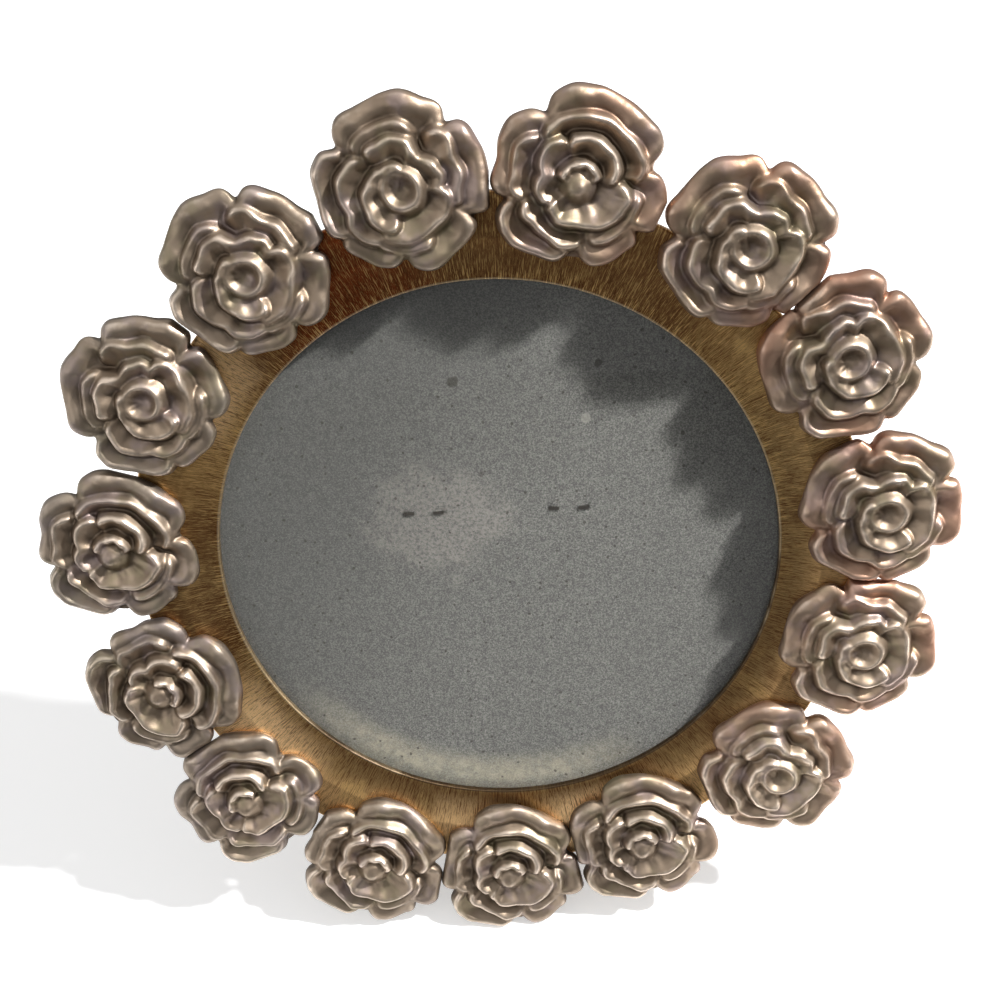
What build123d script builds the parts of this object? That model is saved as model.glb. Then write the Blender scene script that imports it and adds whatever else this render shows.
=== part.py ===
from build123d import *
import os
from math import cos, pi, radians, sin, tan

# A round table photo frame: a dished brass ring with cast roses set round it, a glass,
# a grey backing board with a velvet back, and an easel leg on a pinned strap hinge.
# Everything is built flat in the plane of the ring, with X to the right, Y up and Z
# towards the viewer, and Z = 0 at the front edge of the window. The whole frame is
# then leaned back on its leg, so that Z is up, the viewer stands at -Y and the table
# is Z = 0. All lengths are in millimetres and all angles in degrees.

# Driving dimensions: window, ring and roses
window_radius = 44.5
lip_width = 3.4
rim_wall = 2.4
flange_width = 7.2
lip_thickness = 0.9
cove_rise = 1.9
cove_width = 6.6
flange_thickness = 1.7
rose_count = 15
rose_outset = 2.4
rose_fill_share = 1.012
rose_gap = 0.12
rose_height = 4.9

# Driving dimensions: stance
lean_deg = 15.0
leg_open_deg = 32.0
stance_flat = 0.35

# Pack held in the ring: glass, room for a print, board and velvet back
glass_thickness = 1.2
print_room = 0.4
board_thickness = 2.0
velvet_thickness = 0.4
pocket_clearance = 0.3
overrun = 1.0

# Pegs cast on the back of each rose, passing through the flange
peg_radius = 1.1
peg_spacing = 8.0
peg_clearance = 0.05
peg_stand = 0.4

# Turn clips on bosses behind the flange
clip_count = 3
first_clip_deg = 90.0
boss_radius = 2.2
boss_bite = 0.8
boss_stand = 0.1
clip_length = 8.6
clip_width = 5.0
clip_thickness = 0.8
clip_clearance = 0.08
screw_radius = 0.9
screw_length = 4.4
screw_clearance = 0.05
screw_head_radius = 1.9
screw_head_height = 0.9
screw_slot_width = 0.45
screw_slot_depth = 0.4

# Strap hinge of the easel leg
staple_height = 7.0
staple_drop = 5.2
leaf_width = 34.0
leaf_reach = 8.4
leaf_thickness = 0.6
knuckle_count = 5
knuckle_radius = 1.5
knuckle_gap = 0.2
knuckle_relief = 0.3
hinge_lift = 0.15
pin_radius = 0.8
pin_clearance = 0.05
pin_overhang = 0.5
stop_width = 5.0
stop_reach = 4.2
stop_gap = 0.04

# Staples that hold the hinge to the board, clinched on the front
staple_spacing_share = 0.676
staple_span = 5.8
staple_wire = 0.5
staple_clearance = 0.05
clinch_length = 1.4
clinch_thickness = 0.2

# Leg: stiff board with a velvet back, riveted to its hinge leaf
leg_top_width = 34.0
leg_foot_width = 38.0
leg_thickness = 2.2
leg_corner = 3.0
leg_velvet_inset = 0.6
leaf_tongue = 10.0
rivet_spacing = 20.0
rivet_radius = 1.0
rivet_clearance = 0.05
rivet_head_radius = 2.0
rivet_head_height = 0.7

# Petals of the two rose castings. Each row is one petal: the way that it points, its
# lobe's radius as a share of its reach, its reach as a share of the rose's radius and
# the height of its lip as a share of the rose's height, from the outer row in to the bud.
cupped_bud_petal_shares = [
    (153, 0.66, 1.00, 0.46), (67, 0.62, 0.98, 0.50), (359, 0.64, 0.96, 0.44), (294, 0.60, 0.96, 0.40),
    (234, 0.64, 0.98, 0.52),
    (247, 0.60, 0.74, 0.70), (70, 0.56, 0.77, 0.74), (320, 0.54, 0.74, 0.66), (160, 0.56, 0.72, 0.68),
    (235, 0.66, 0.51, 0.88), (5, 0.56, 0.60, 0.84), (120, 0.58, 0.54, 0.86),
]
ball_bud_petal_shares = [
    (62, 0.68, 1.00, 0.48), (155, 0.62, 0.95, 0.44), (228, 0.62, 0.96, 0.50), (290, 0.60, 0.96, 0.42),
    (345, 0.60, 0.97, 0.46),
    (65, 0.64, 0.79, 0.72), (163, 0.54, 0.77, 0.68), (232, 0.56, 0.70, 0.74), (315, 0.58, 0.72, 0.66),
    (50, 0.58, 0.53, 0.87), (150, 0.56, 0.55, 0.85), (285, 0.64, 0.58, 0.83),
]
petal_foot_share = 0.92
petal_lip_share = 0.1
petal_scoop_share = 0.3
bud_radius_share = 0.21
bud_dimple_share = 0.45
heart_share = 0.5

# Each place, counted from the bottom rose to the right: the casting, its turn, its swing
# away from even spacing and its share of the roses' circle, as they were set by hand
cupped, ball = "cupped", "ball"
rose_place_shares = [
    (ball, 12, -0.7, 0.983), (ball, 17, -1.5, 0.966), (cupped, 320, 0.2, 0.994),
    (cupped, 3, 1.6, 0.995), (cupped, 0, 0.6, 0.998), (cupped, 33, 0.6, 1.022),
    (cupped, 332, -2.1, 1.024), (ball, 0, -1.7, 0.997), (cupped, 309, -1.7, 0.997),
    (cupped, 349, -0.5, 0.973), (cupped, 17, 0.2, 0.988), (ball, 4, 1.5, 1.002),
    (ball, 306, 2.1, 1.0), (ball, 44, 1.7, 1.026), (ball, 350, 0.7, 1.029),
]

# Radii and levels worked out from the driving dimensions
pocket_radius = window_radius + lip_width
rim_radius = pocket_radius + rim_wall
ring_radius = rim_radius + flange_width
rose_circle_radius = ring_radius + rose_outset
rose_radius = rose_fill_share * pi * rose_circle_radius / rose_count
peg_circle_radius = (rim_radius + ring_radius) / 2
flange_back = cove_rise - flange_thickness
seat_level = -lip_thickness
glass_back = seat_level - glass_thickness
board_front = glass_back - print_room
board_back = board_front - board_thickness
velvet_back = board_back - velvet_thickness
rim_end = velvet_back - clip_clearance
boss_end = rim_end - boss_stand
clip_back = boss_end - clip_thickness
boss_circle_radius = rim_radius + boss_radius - boss_bite
hinge_height = staple_height - staple_drop
hinge_level = velvet_back - hinge_lift - knuckle_radius
leaf_back = velvet_back - leaf_thickness
leg_front = velvet_back - hinge_lift - leaf_thickness
leg_back = leg_front - leg_thickness
knuckle_width = leaf_width / knuckle_count
staple_spacing = staple_spacing_share * leaf_width
hinge_axis = Axis((0, hinge_height, hinge_level), (1, 0, 0))


def disc(radius, low, high):
    """A round plate about the Z axis between two levels."""
    return Pos(0, 0, low) * Cylinder(radius, high - low, align=(Align.CENTER, Align.CENTER, Align.MIN))


def block(low_corner, high_corner):
    """A box between two opposite corners."""
    size = [high - low for low, high in zip(low_corner, high_corner)]
    return Pos(*low_corner) * Box(*size, align=(Align.MIN, Align.MIN, Align.MIN))


def bar(radius, left, right):
    """A round bar along the hinge axis between two places in X."""
    middle = Pos((left + right) / 2, hinge_height, hinge_level)
    return middle * Rot(0, 90, 0) * Cylinder(radius, right - left)


def around(radius, angle_deg):
    """The place on a circle in the plane of the ring."""
    return Pos(radius * cos(radians(angle_deg)), radius * sin(radians(angle_deg)), 0)


def rose_place(index):
    """One rose's casting and turn, and its direction and distance from the ring's centre."""
    kind, turn_deg, swing_deg, circle_share = rose_place_shares[index % len(rose_place_shares)]
    return kind, turn_deg, -90 + 360 * index / rose_count + swing_deg, circle_share * rose_circle_radius


def clip_angles():
    """The directions of the turn clips."""
    return [first_clip_deg + 360 * index / clip_count for index in range(clip_count)]


# Roses
def petal(turn_deg, lobe_share, reach_share, lip_share):
    """One cupped petal: a flaring lobe with a raised lip round a scooped hollow."""
    reach = reach_share * rose_radius
    lobe_radius = lobe_share * reach
    lip_level = lip_share * rose_height
    lobe = Cone(
        petal_foot_share * lobe_radius, lobe_radius, lip_level,
        align=(Align.CENTER, Align.CENTER, Align.MIN),
    )
    hollow_radius = (1 - petal_lip_share) * lobe_radius
    hollow_depth = petal_scoop_share * lip_level
    ball_radius = (hollow_radius ** 2 + hollow_depth ** 2) / (2 * hollow_depth)
    scoop = Pos(0, 0, lip_level - hollow_depth + ball_radius) * Sphere(ball_radius)
    return Rot(0, 0, turn_deg) * Pos(reach - lobe_radius, 0, 0) * (lobe - scoop)


def bud(dimpled):
    """The closed heart of a rose on its stem, with or without a dimple in its top."""
    radius = bud_radius_share * rose_radius
    centre = Pos(0, 0, rose_height - radius)
    stem = Cone(
        heart_share * rose_radius, radius, rose_height - radius,
        align=(Align.CENTER, Align.CENTER, Align.MIN),
    )
    heart = stem + centre * Sphere(radius)
    if dimpled:
        heart -= Pos(0, 0, rose_height) * Sphere(bud_dimple_share * radius)
    return heart


def rose_casting(petal_shares, dimpled):
    """One whole rose with its flat back at Z = 0 and its bud over the Z axis."""
    casting = bud(dimpled)
    for row in petal_shares:
        casting += petal(*row)
    return casting


def peg_places(index):
    """The places of one rose's two pegs on the flange."""
    out = Rot(0, 0, rose_place(index)[2])
    return [out * Pos(peg_circle_radius, side * peg_spacing / 2, 0) for side in (-1, 1)]


def rose_sector(index):
    """The room that one rose may fill, up to halfway to its neighbours."""
    before, here, after = (rose_place(index + step)[2] for step in (-1, 0, 1))
    half_deg = (after - before) / 4
    apex = rose_gap / 2 / sin(radians(half_deg))
    far = rose_circle_radius + 2 * rose_radius
    half_width = (far - apex) * tan(radians(half_deg))
    outline = Polyline((apex, 0), (far, half_width), (far, -half_width), close=True)
    wedge = extrude(make_face(outline), cove_rise + rose_height + overrun)
    return Rot(0, 0, (before + 2 * here + after) / 4) * Pos(0, 0, flange_back) * wedge


def make_roses():
    """Every rose at its place on the ring, each with two pegs through the flange."""
    castings = {
        cupped: rose_casting(cupped_bud_petal_shares, True),
        ball: rose_casting(ball_bud_petal_shares, False),
    }
    roses = {}
    for index in range(rose_count):
        kind, turn_deg, angle_deg, distance = rose_place(index)
        place = around(distance, angle_deg) * Pos(0, 0, cove_rise)
        rose = place * Rot(0, 0, turn_deg) * castings[kind] & rose_sector(index)
        peg = disc(peg_radius, flange_back - peg_stand, cove_rise)
        roses[f"rose_{index + 1:02d}"] = rose + [spot * peg for spot in peg_places(index)]
    return roses


# Ring
def ring_section():
    """Half section of the ring, with the dished cove on its front and a stepped back."""
    cove_end = (window_radius + cove_width, cove_rise)
    cove_middle = (window_radius + cove_width / 2, cove_rise / 3)
    edge = flange_thickness / 3
    outline = [
        Line((window_radius, seat_level), (window_radius, 0)),
        ThreePointArc((window_radius, 0), cove_middle, cove_end),
        Line(cove_end, (ring_radius - edge, cove_rise)),
        Line((ring_radius - edge, cove_rise), (ring_radius, cove_rise - edge)),
        Line((ring_radius, cove_rise - edge), (ring_radius, flange_back)),
        Line((ring_radius, flange_back), (rim_radius, flange_back)),
        Line((rim_radius, flange_back), (rim_radius, seat_level)),
        Line((rim_radius, seat_level), (window_radius, seat_level)),
    ]
    return Plane.XZ * make_face(outline)


def make_face_ring():
    """The dished ring, with holes in its flange for the roses' pegs."""
    ring = revolve(ring_section(), Axis.Z)
    for index in range(rose_count):
        for spot in peg_places(index):
            ring -= spot * disc(peg_radius + peg_clearance, flange_back - overrun, cove_rise + overrun)
    return ring


def make_pocket_rim():
    """The band behind the ring that makes the pocket, with a boss for each clip's screw."""
    rim = disc(rim_radius, rim_end, seat_level)
    for angle_deg in clip_angles():
        place = around(boss_circle_radius, angle_deg)
        rim += place * disc(boss_radius, boss_end, flange_back)
        rim -= place * disc(screw_radius + screw_clearance, boss_end - overrun, clip_back + screw_length)
    rim -= disc(rim_radius, seat_level, flange_back + overrun)
    return rim - disc(pocket_radius, boss_end - overrun, seat_level)


# Glass, board and velvet back
def staple_slots(low, high):
    """Four square slots that the staples' legs pass through."""
    half = staple_wire / 2 + staple_clearance
    slots = []
    for centre in (-staple_spacing / 2, staple_spacing / 2):
        for side in (-1, 1):
            x = centre + side * staple_span / 2
            slots.append(block(
                (x - half, staple_height - half, low - overrun),
                (x + half, staple_height + half, high + overrun),
            ))
    return slots


def make_pack():
    """The glass, the backing board and the velvet on its back."""
    radius = pocket_radius - pocket_clearance
    board = disc(radius, board_back, board_front)
    velvet = disc(radius, velvet_back, board_back)
    for slot in staple_slots(velvet_back, board_front):
        board -= slot
        velvet -= slot
    return {
        "glass": disc(radius, glass_back, seat_level),
        "backing_board": board,
        "back_velvet": velvet,
    }


# Hinge
def knuckle_range(index):
    """Left and right ends of one knuckle, with the running gap taken off."""
    left = -leaf_width / 2 + index * knuckle_width
    return left + knuckle_gap / 2, left + knuckle_width - knuckle_gap / 2


def hinge_leaf(up, sheet_low, sheet_high, reach, owned):
    """A sheet leaf with some of the knuckles rolled along its hinged edge."""
    near = hinge_height + up * (knuckle_radius + knuckle_relief)
    far = hinge_height + up * reach
    leaf = block(
        (-leaf_width / 2, min(near, far), sheet_low),
        (leaf_width / 2, max(near, far), sheet_high),
    )
    for index in owned:
        left, right = knuckle_range(index)
        root = block(
            (left, min(hinge_height, near), sheet_low),
            (right, max(hinge_height, near), sheet_high),
        )
        leaf += root + bar(knuckle_radius, left, right)
    return leaf - bar(pin_radius + pin_clearance, -leaf_width, leaf_width)


def make_board_hinge():
    """The leaf that is stapled to the board, the hinge pin and the two staples."""
    odd = range(1, knuckle_count, 2)
    leaf = hinge_leaf(1, leaf_back, velvet_back, leaf_reach, odd)
    for slot in staple_slots(leaf_back, velvet_back):
        leaf -= slot
    pieces = {
        "hinge_board_leaf": leaf,
        "hinge_pin": bar(pin_radius, -leaf_width / 2 - pin_overhang, leaf_width / 2 + pin_overhang),
    }
    for name, side in (("staple_left", -1), ("staple_right", 1)):
        pieces[name] = staple(side * staple_spacing / 2)
    return pieces


def staple(centre):
    """A wire staple with its crown on the hinge leaf and its tips bent over in front."""
    half = staple_wire / 2
    low, high = staple_height - half, staple_height + half
    left, right = centre - staple_span / 2, centre + staple_span / 2
    wire = block((left - half, low, leaf_back - staple_wire), (right + half, high, leaf_back))
    for x, inward in ((left, 1), (right, -1)):
        wire += block((x - half, low, leaf_back - half), (x + half, high, board_front))
        tip = x + inward * clinch_length
        wire += block(
            (min(x - inward * half, tip), low, board_front),
            (max(x - inward * half, tip), high, board_front + clinch_thickness),
        )
    return wire


# Leg, built closed against the back and then swung open
def leg_blank(top, low, high, inset):
    """A tapered leg board between two levels, longer than the leg needs."""
    foot = -rose_circle_radius - 2 * rose_radius
    slope = (leg_foot_width - leg_top_width) / 2 / (rose_circle_radius + hinge_height)
    half_top = leg_top_width / 2 - inset
    half_foot = half_top + slope * (top - foot)
    outline = make_face(Polyline(
        (-half_top, top), (half_top, top), (half_foot, foot), (-half_foot, foot), close=True,
    ))
    corners = outline.vertices().sort_by(Axis.Y)[-2:]
    return Pos(0, 0, low) * extrude(fillet(corners, leg_corner), high - low)


def make_leg():
    """The leg's hinge leaf, board, velvet and rivets, closed against the back."""
    even = range(0, knuckle_count, 2)
    top = hinge_height - knuckle_radius - knuckle_relief
    leaf = hinge_leaf(-1, leg_front, leg_front + leaf_thickness, leaf_tongue, even)
    board = leg_blank(top, leg_back, leg_front, 0)
    velvet = leg_blank(top - leg_velvet_inset, leg_back - velvet_thickness, leg_back, leg_velvet_inset)
    rivets = []
    height = (top + hinge_height - leaf_tongue) / 2
    for side in (-1, 1):
        place = Pos(side * rivet_spacing / 2, height, 0)
        hole = place * disc(rivet_radius + rivet_clearance, leg_back - overrun, velvet_back)
        leaf -= hole
        board -= hole
        velvet -= hole
        shank = disc(rivet_radius, leg_back - velvet_thickness, leg_front + leaf_thickness)
        head_low = leg_back - velvet_thickness - rivet_head_height
        head = disc(rivet_head_radius, head_low, leg_back - velvet_thickness)
        rim = head.edges().group_by(Axis.Z)[0]
        rivets.append(place * (shank + fillet(rim, rivet_head_height / 2)))
    return {
        "hinge_leg_leaf": leaf,
        "leg_board": board,
        "leg_velvet": velvet,
        "leg_rivets": rivets[0] + rivets[1],
    }


def stop_tongue():
    """The stop on the leg's middle knuckle, lying on the board leaf while the leg is open."""
    high = leaf_back - stop_gap
    return block(
        (-stop_width / 2, hinge_height, high - leaf_thickness),
        (stop_width / 2, hinge_height + stop_reach, high),
    ) - bar(pin_radius + pin_clearance, -leaf_width, leaf_width)


def open_leg():
    """The leg swung open, with the stop tongue joined to its leaf."""
    pieces = {name: shape.rotate(hinge_axis, leg_open_deg) for name, shape in make_leg().items()}
    pieces["hinge_leg_leaf"] = pieces["hinge_leg_leaf"] + stop_tongue()
    return pieces


# Turn clips
def make_clips():
    """Each turn clip, pointing in over the board, and the screw that it turns on."""
    pieces = {}
    for index, angle_deg in enumerate(clip_angles()):
        place = Rot(0, 0, angle_deg) * Pos(boss_circle_radius, 0, 0)
        plate = block((-clip_length, -clip_width / 2, clip_back), (0, clip_width / 2, boss_end))
        plate += disc(clip_width / 2, clip_back, boss_end)
        tip = plate.edges().filter_by(Axis.Z).group_by(Axis.X)[0]
        plate = fillet(tip, clip_width / 4)
        plate -= disc(screw_radius + clip_clearance, clip_back - overrun, boss_end + overrun)
        head_low = clip_back - screw_head_height
        screw = disc(screw_radius, clip_back, clip_back + screw_length)
        head = disc(screw_head_radius, head_low, clip_back)
        screw += fillet(head.edges().group_by(Axis.Z)[0], screw_head_height / 2)
        screw -= block(
            (-screw_head_radius, -screw_slot_width / 2, head_low - overrun),
            (screw_head_radius, screw_slot_width / 2, head_low + screw_slot_depth),
        )
        pieces[f"turn_clip_{index + 1}"] = place * plate
        pieces[f"clip_screw_{index + 1}"] = place * screw
    return pieces


# Stance: lean the frame back, set it on the table and trim what stands on it
def stand_up(flat):
    """Every piece leaned back, resting on Z = 0 and centred over the origin."""
    leaned = {name: Rot(90 - lean_deg, 0, 0) * shape for name, shape in flat.items()}
    table = leaned["rose_01"].bounding_box().min.Z + stance_flat
    reach = 4 * ring_radius
    above = Pos(0, 0, table) * Box(reach, reach, reach, align=(Align.CENTER, Align.CENTER, Align.MIN))
    for name in ("rose_01", "leg_board"):
        leaned[name] = leaned[name] & above
    leaned["leg_velvet"] = leaned["leg_velvet"] & (Pos(0, 0, leg_velvet_inset) * above)
    boxes = [shape.bounding_box() for shape in leaned.values()]
    middle_x = (min(box.min.X for box in boxes) + max(box.max.X for box in boxes)) / 2
    middle_y = (min(box.min.Y for box in boxes) + max(box.max.Y for box in boxes)) / 2
    shift = Vector(-middle_x, -middle_y, -table)
    return {name: shape.translate(shift) for name, shape in leaned.items()}, shift


def ring_to_table(point, shift):
    """A point given in the plane of the ring, in the standing frame."""
    return Vector(*point).rotate(Axis.X, 90 - lean_deg) + shift


def make_frame():
    """Builds every piece, writes one file per piece and prints the places of the joints."""
    flat = {"face_ring": make_face_ring(), "pocket_rim": make_pocket_rim()}
    for pieces in (make_roses(), make_pack(), make_board_hinge(), open_leg(), make_clips()):
        flat.update(pieces)
    standing, shift = stand_up(flat)
    os.makedirs("parts", exist_ok=True)
    for name, shape in standing.items():
        export_step(shape, f"parts/{name}.step")
    print("ring centre", ring_to_table((0, 0, 0), shift))
    print("hinge axis", ring_to_table((0, hinge_height, hinge_level), shift))
    normal = Vector(0, 0, 1).rotate(Axis.X, 90 - lean_deg)
    print("ring normal", normal)
    for index, angle_deg in enumerate(clip_angles()):
        spot = around(boss_circle_radius, angle_deg).position + Vector(0, 0, boss_end)
        print(f"clip {index + 1}", ring_to_table(tuple(spot), shift))


make_frame()
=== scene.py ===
"""Looks for a round table photo frame with cast roses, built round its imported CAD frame."""

import logging
import math
from dataclasses import dataclass
from enum import Enum
from functools import reduce

import bmesh
import bpy
import numpy as np
from mathutils import Matrix, Vector


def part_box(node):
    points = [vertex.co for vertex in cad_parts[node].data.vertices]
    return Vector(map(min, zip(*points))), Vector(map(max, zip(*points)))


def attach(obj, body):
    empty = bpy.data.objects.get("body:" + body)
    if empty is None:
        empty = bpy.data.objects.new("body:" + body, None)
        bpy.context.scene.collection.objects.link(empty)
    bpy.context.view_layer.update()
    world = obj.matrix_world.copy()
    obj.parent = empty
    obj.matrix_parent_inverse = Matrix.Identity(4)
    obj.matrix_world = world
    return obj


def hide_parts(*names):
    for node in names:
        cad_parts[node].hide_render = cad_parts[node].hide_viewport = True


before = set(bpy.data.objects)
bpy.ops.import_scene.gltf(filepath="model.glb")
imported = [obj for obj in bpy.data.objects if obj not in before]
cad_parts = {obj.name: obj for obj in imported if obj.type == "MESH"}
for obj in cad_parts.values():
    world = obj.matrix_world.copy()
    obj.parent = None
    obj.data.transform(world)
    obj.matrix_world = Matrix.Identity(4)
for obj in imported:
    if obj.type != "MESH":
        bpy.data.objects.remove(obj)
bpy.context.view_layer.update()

MM = 0.001
LEAN_DEG = 15.0
TILT = math.radians(90 - LEAN_DEG)
PANE_DEPTH = 1.5
FRAME = "frame"
CLIPS = (1, 2, 3)

Node = bpy.types.Node
NodeTree = bpy.types.NodeTree
Socket = bpy.types.NodeSocket
Material = bpy.types.Material
Piece = bpy.types.Object
Value = Socket | float
Tone = Socket | tuple
Inputs = dict[str, tuple[str, object]]
Sockets = dict[str, Value | Tone]

FLOAT, COLOUR, VECTOR = "NodeSocketFloat", "NodeSocketColor", "NodeSocketVector"
WHOLE, SURFACE, SHAPE = "NodeSocketInt", "NodeSocketMaterial", "NodeSocketGeometry"

log = logging.getLogger("photo_frame")


class Casting(Enum):
    """The two rose castings that the frame was made with."""

    CUPPED = "cupped"
    BALL = "ball"


@dataclass(frozen=True)
class RingPlane:
    """The plane of the leaning ring: X to the right, Y up and Z towards the viewer, in mm."""

    centre: Vector
    turn: Matrix

    @classmethod
    def before_glass(cls, node: str, depth: float) -> "RingPlane":
        """Finds the ring's centre from the pane, which lies behind the window's edge.

        Args:
            node: The CAD node of the glass.
            depth: How far the pane's middle lies behind the window's front edge, in mm.

        Returns:
            The plane of the ring.
        """
        low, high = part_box(node)
        normal = Vector((0, -math.sin(TILT), math.cos(TILT)))
        return cls((low + high) / 2 + normal * depth * MM, Matrix.Rotation(TILT, 3, "X"))

    def world(self, points: np.ndarray) -> np.ndarray:
        """Takes points in the ring's plane, in mm, to the standing frame, in metres."""
        return points @ np.array(self.turn).T * MM + np.array(self.centre)

    def point(self, x: float, y: float, z: float) -> Vector:
        """One place in the ring's plane, in mm, as a place in the standing frame."""
        return self.centre + self.turn @ (Vector((x, y, z)) * MM)

    def direction(self, x: float, y: float, z: float) -> Vector:
        """One direction in the ring's plane as a direction in the standing frame."""
        return (self.turn @ Vector((x, y, z))).normalized()


PLANE = RingPlane.before_glass("glass", PANE_DEPTH)


def colour(red: float, green: float, blue: float) -> tuple[float, float, float, float]:
    """A linear colour from the way that it looks on a screen.

    Args:
        red: The red part, from 0 to 255, and so for the other two.
        green: The green part.
        blue: The blue part.

    Returns:
        The linear colour with an alpha of 1.
    """
    parts = [value / 255 for value in (red, green, blue)]
    linear = [v / 12.92 if v <= 0.04045 else ((v + 0.055) / 1.055) ** 2.4 for v in parts]
    return (*linear, 1.0)


def place_object(name: str, data: bpy.types.ID) -> Piece:
    """Puts a new object in the scene.

    Args:
        name: The object's name.
        data: Its mesh, camera or light.

    Returns:
        The object, at the origin.
    """
    piece = bpy.data.objects.new(name, data)
    bpy.context.collection.objects.link(piece)
    return piece


class Sheet:
    """A node tree that is being drawn, with short calls for its nodes and links."""

    def __init__(self, tree: NodeTree) -> None:
        """Keeps the tree and clears it."""
        self.tree = tree
        tree.nodes.clear()

    def put(self, node: Node, key: str | int, value: Value | Tone) -> None:
        """Joins a socket to one of a node's inputs, or sets the input to a plain value.

        Args:
            node: The node.
            key: The input's name or number.
            value: The socket or the value.
        """
        if isinstance(value, Socket):
            self.tree.links.new(value, node.inputs[key])
        else:
            node.inputs[key].default_value = value

    def add(self, kind: str, links: dict | None = None, **settings) -> Node:
        """Adds one node, sets its properties and joins or sets its inputs.

        Args:
            kind: The node's type.
            links: Input names or numbers, each with a socket to join or a value to set.
            settings: Properties of the node.

        Returns:
            The new node.
        """
        node = self.tree.nodes.new(kind)
        for name, value in settings.items():
            setattr(node, name, value)
        for key, value in (links or {}).items():
            self.put(node, key, value)
        return node

    def use(self, group: NodeTree, **links) -> bpy.types.NodeOutputs:
        """Places a shader group and gives its outputs."""
        return self.add("ShaderNodeGroup", links, node_tree=group).outputs

    def maths(self, operation: str, first: Value, second: Value = 0.0) -> Socket:
        """A Math node's result for two values or sockets."""
        return self.add("ShaderNodeMath", {0: first, 1: second}, operation=operation).outputs[0]

    def times(self, *values: Value) -> Socket:
        """The product of values and sockets."""
        return reduce(lambda first, second: self.maths("MULTIPLY", first, second), values)

    def plus(self, *values: Value) -> Socket:
        """The sum of values and sockets."""
        return reduce(lambda first, second: self.maths("ADD", first, second), values)

    def minus(self, first: Value, second: Value) -> Socket:
        """The first value less the second."""
        return self.maths("SUBTRACT", first, second)

    def most(self, first: Value, second: Value) -> Socket:
        """The greater of two values."""
        return self.maths("MAXIMUM", first, second)

    def far(self, x: Socket, y: Socket) -> Socket:
        """The length of a flat vector."""
        return self.maths("POWER", self.plus(self.times(x, x), self.times(y, y)), 0.5)

    def mix(self, factor: Value, first: Tone, second: Tone, blend: str = "MIX") -> Socket:
        """A mix of two colours by a factor."""
        links = {0: factor, 6: first, 7: second}
        return self.add("ShaderNodeMix", links, data_type="RGBA", blend_type=blend).outputs[2]

    def spread(
        self, value: Value, low: float, high: float, start: float = 0.0, end: float = 1.0
    ) -> Socket:
        """A value taken smoothly from one range to another, and kept within its ends.

        Args:
            value: The value.
            low: Where the first range starts.
            high: Where it ends.
            start: What the low end gives.
            end: What the high end gives.

        Returns:
            The value in the second range.
        """
        links = {"Value": value, "From Min": low, "From Max": high, "To Min": start, "To Max": end}
        return self.add("ShaderNodeMapRange", links, interpolation_type="SMOOTHSTEP").outputs[0]

    def ramp(
        self, place: Socket, low: float, high: float, start: float = 0.0, end: float = 1.0
    ) -> Socket:
        """The same as spread, for a place in metres and a first range in mm."""
        return self.spread(place, low * MM, high * MM, start, end)

    def noise(
        self, vector: Socket, scale: Value, detail: float = 3.0, roughness: float = 0.55
    ) -> Socket:
        """A noise value over a vector."""
        links = {"Vector": vector, "Scale": scale, "Detail": detail, "Roughness": roughness}
        return self.add("ShaderNodeTexNoise", links).outputs[0]

    def stir(self, vector: Socket, scale: float, size: float, detail: float = 3.0) -> Socket:
        """A noise that swings about zero by half its size."""
        return self.times(self.minus(self.noise(vector, scale, detail), 0.5), size)

    def vector(self, operation: str, first: Socket, **links) -> Socket:
        """A Vector Math node's result, which is a number for a length."""
        node = self.add("ShaderNodeVectorMath", {0: first, **links}, operation=operation)
        return node.outputs["Value" if operation == "LENGTH" else "Vector"]

    def split(self, vector: Socket) -> bpy.types.NodeOutputs:
        """The three parts of a vector."""
        return self.add("ShaderNodeSeparateXYZ", {0: vector}).outputs

    def gather(self, x: Value = 0.0, y: Value = 0.0, z: Value = 0.0) -> Socket:
        """A vector of three parts."""
        return self.add("ShaderNodeCombineXYZ", {0: x, 1: y, 2: z}).outputs[0]

    def attribute(self, name: str, output: str) -> Socket:
        """One of the mesh's own attributes."""
        return self.add("ShaderNodeAttribute", attribute_name=name).outputs[output]

    def object_coords(self) -> Socket:
        """Object coordinates, in metres."""
        return self.add("ShaderNodeTexCoord").outputs["Object"]

    def ring_coords(self) -> Socket:
        """Object coordinates taken to the plane of the ring, in metres."""
        links = {"Vector": self.object_coords(), "Location": PLANE.centre, "Rotation": (TILT, 0, 0)}
        return self.add("ShaderNodeMapping", links, vector_type="TEXTURE").outputs[0]

    def bump(self, height: Socket, depth: float, strength: float) -> Socket:
        """The normal that a height gives, its depth in metres."""
        links = {"Height": height, "Distance": depth, "Strength": strength}
        return self.add("ShaderNodeBump", links).outputs[0]


class GroupSheet(Sheet):
    """A shader group that is being drawn, with named inputs and outputs."""

    def __init__(self, name: str, inputs: Inputs, outputs: dict[str, str]) -> None:
        """Opens the group with its sockets.

        Args:
            name: The group's name.
            inputs: Each input's name with its kind and its usual value.
            outputs: Each output's name with its kind.
        """
        super().__init__(bpy.data.node_groups.new(name, "ShaderNodeTree"))
        for key, (kind, value) in inputs.items():
            socket = self.tree.interface.new_socket(key, in_out="INPUT", socket_type=kind)
            if value is not None:
                socket.default_value = value
        for key, kind in outputs.items():
            self.tree.interface.new_socket(key, in_out="OUTPUT", socket_type=kind)
        self.given = self.add("NodeGroupInput").outputs

    def close(self, **results: Socket) -> NodeTree:
        """Joins the results to the group's outputs, and gives the group."""
        self.add("NodeGroupOutput", results)
        return self.tree


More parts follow.
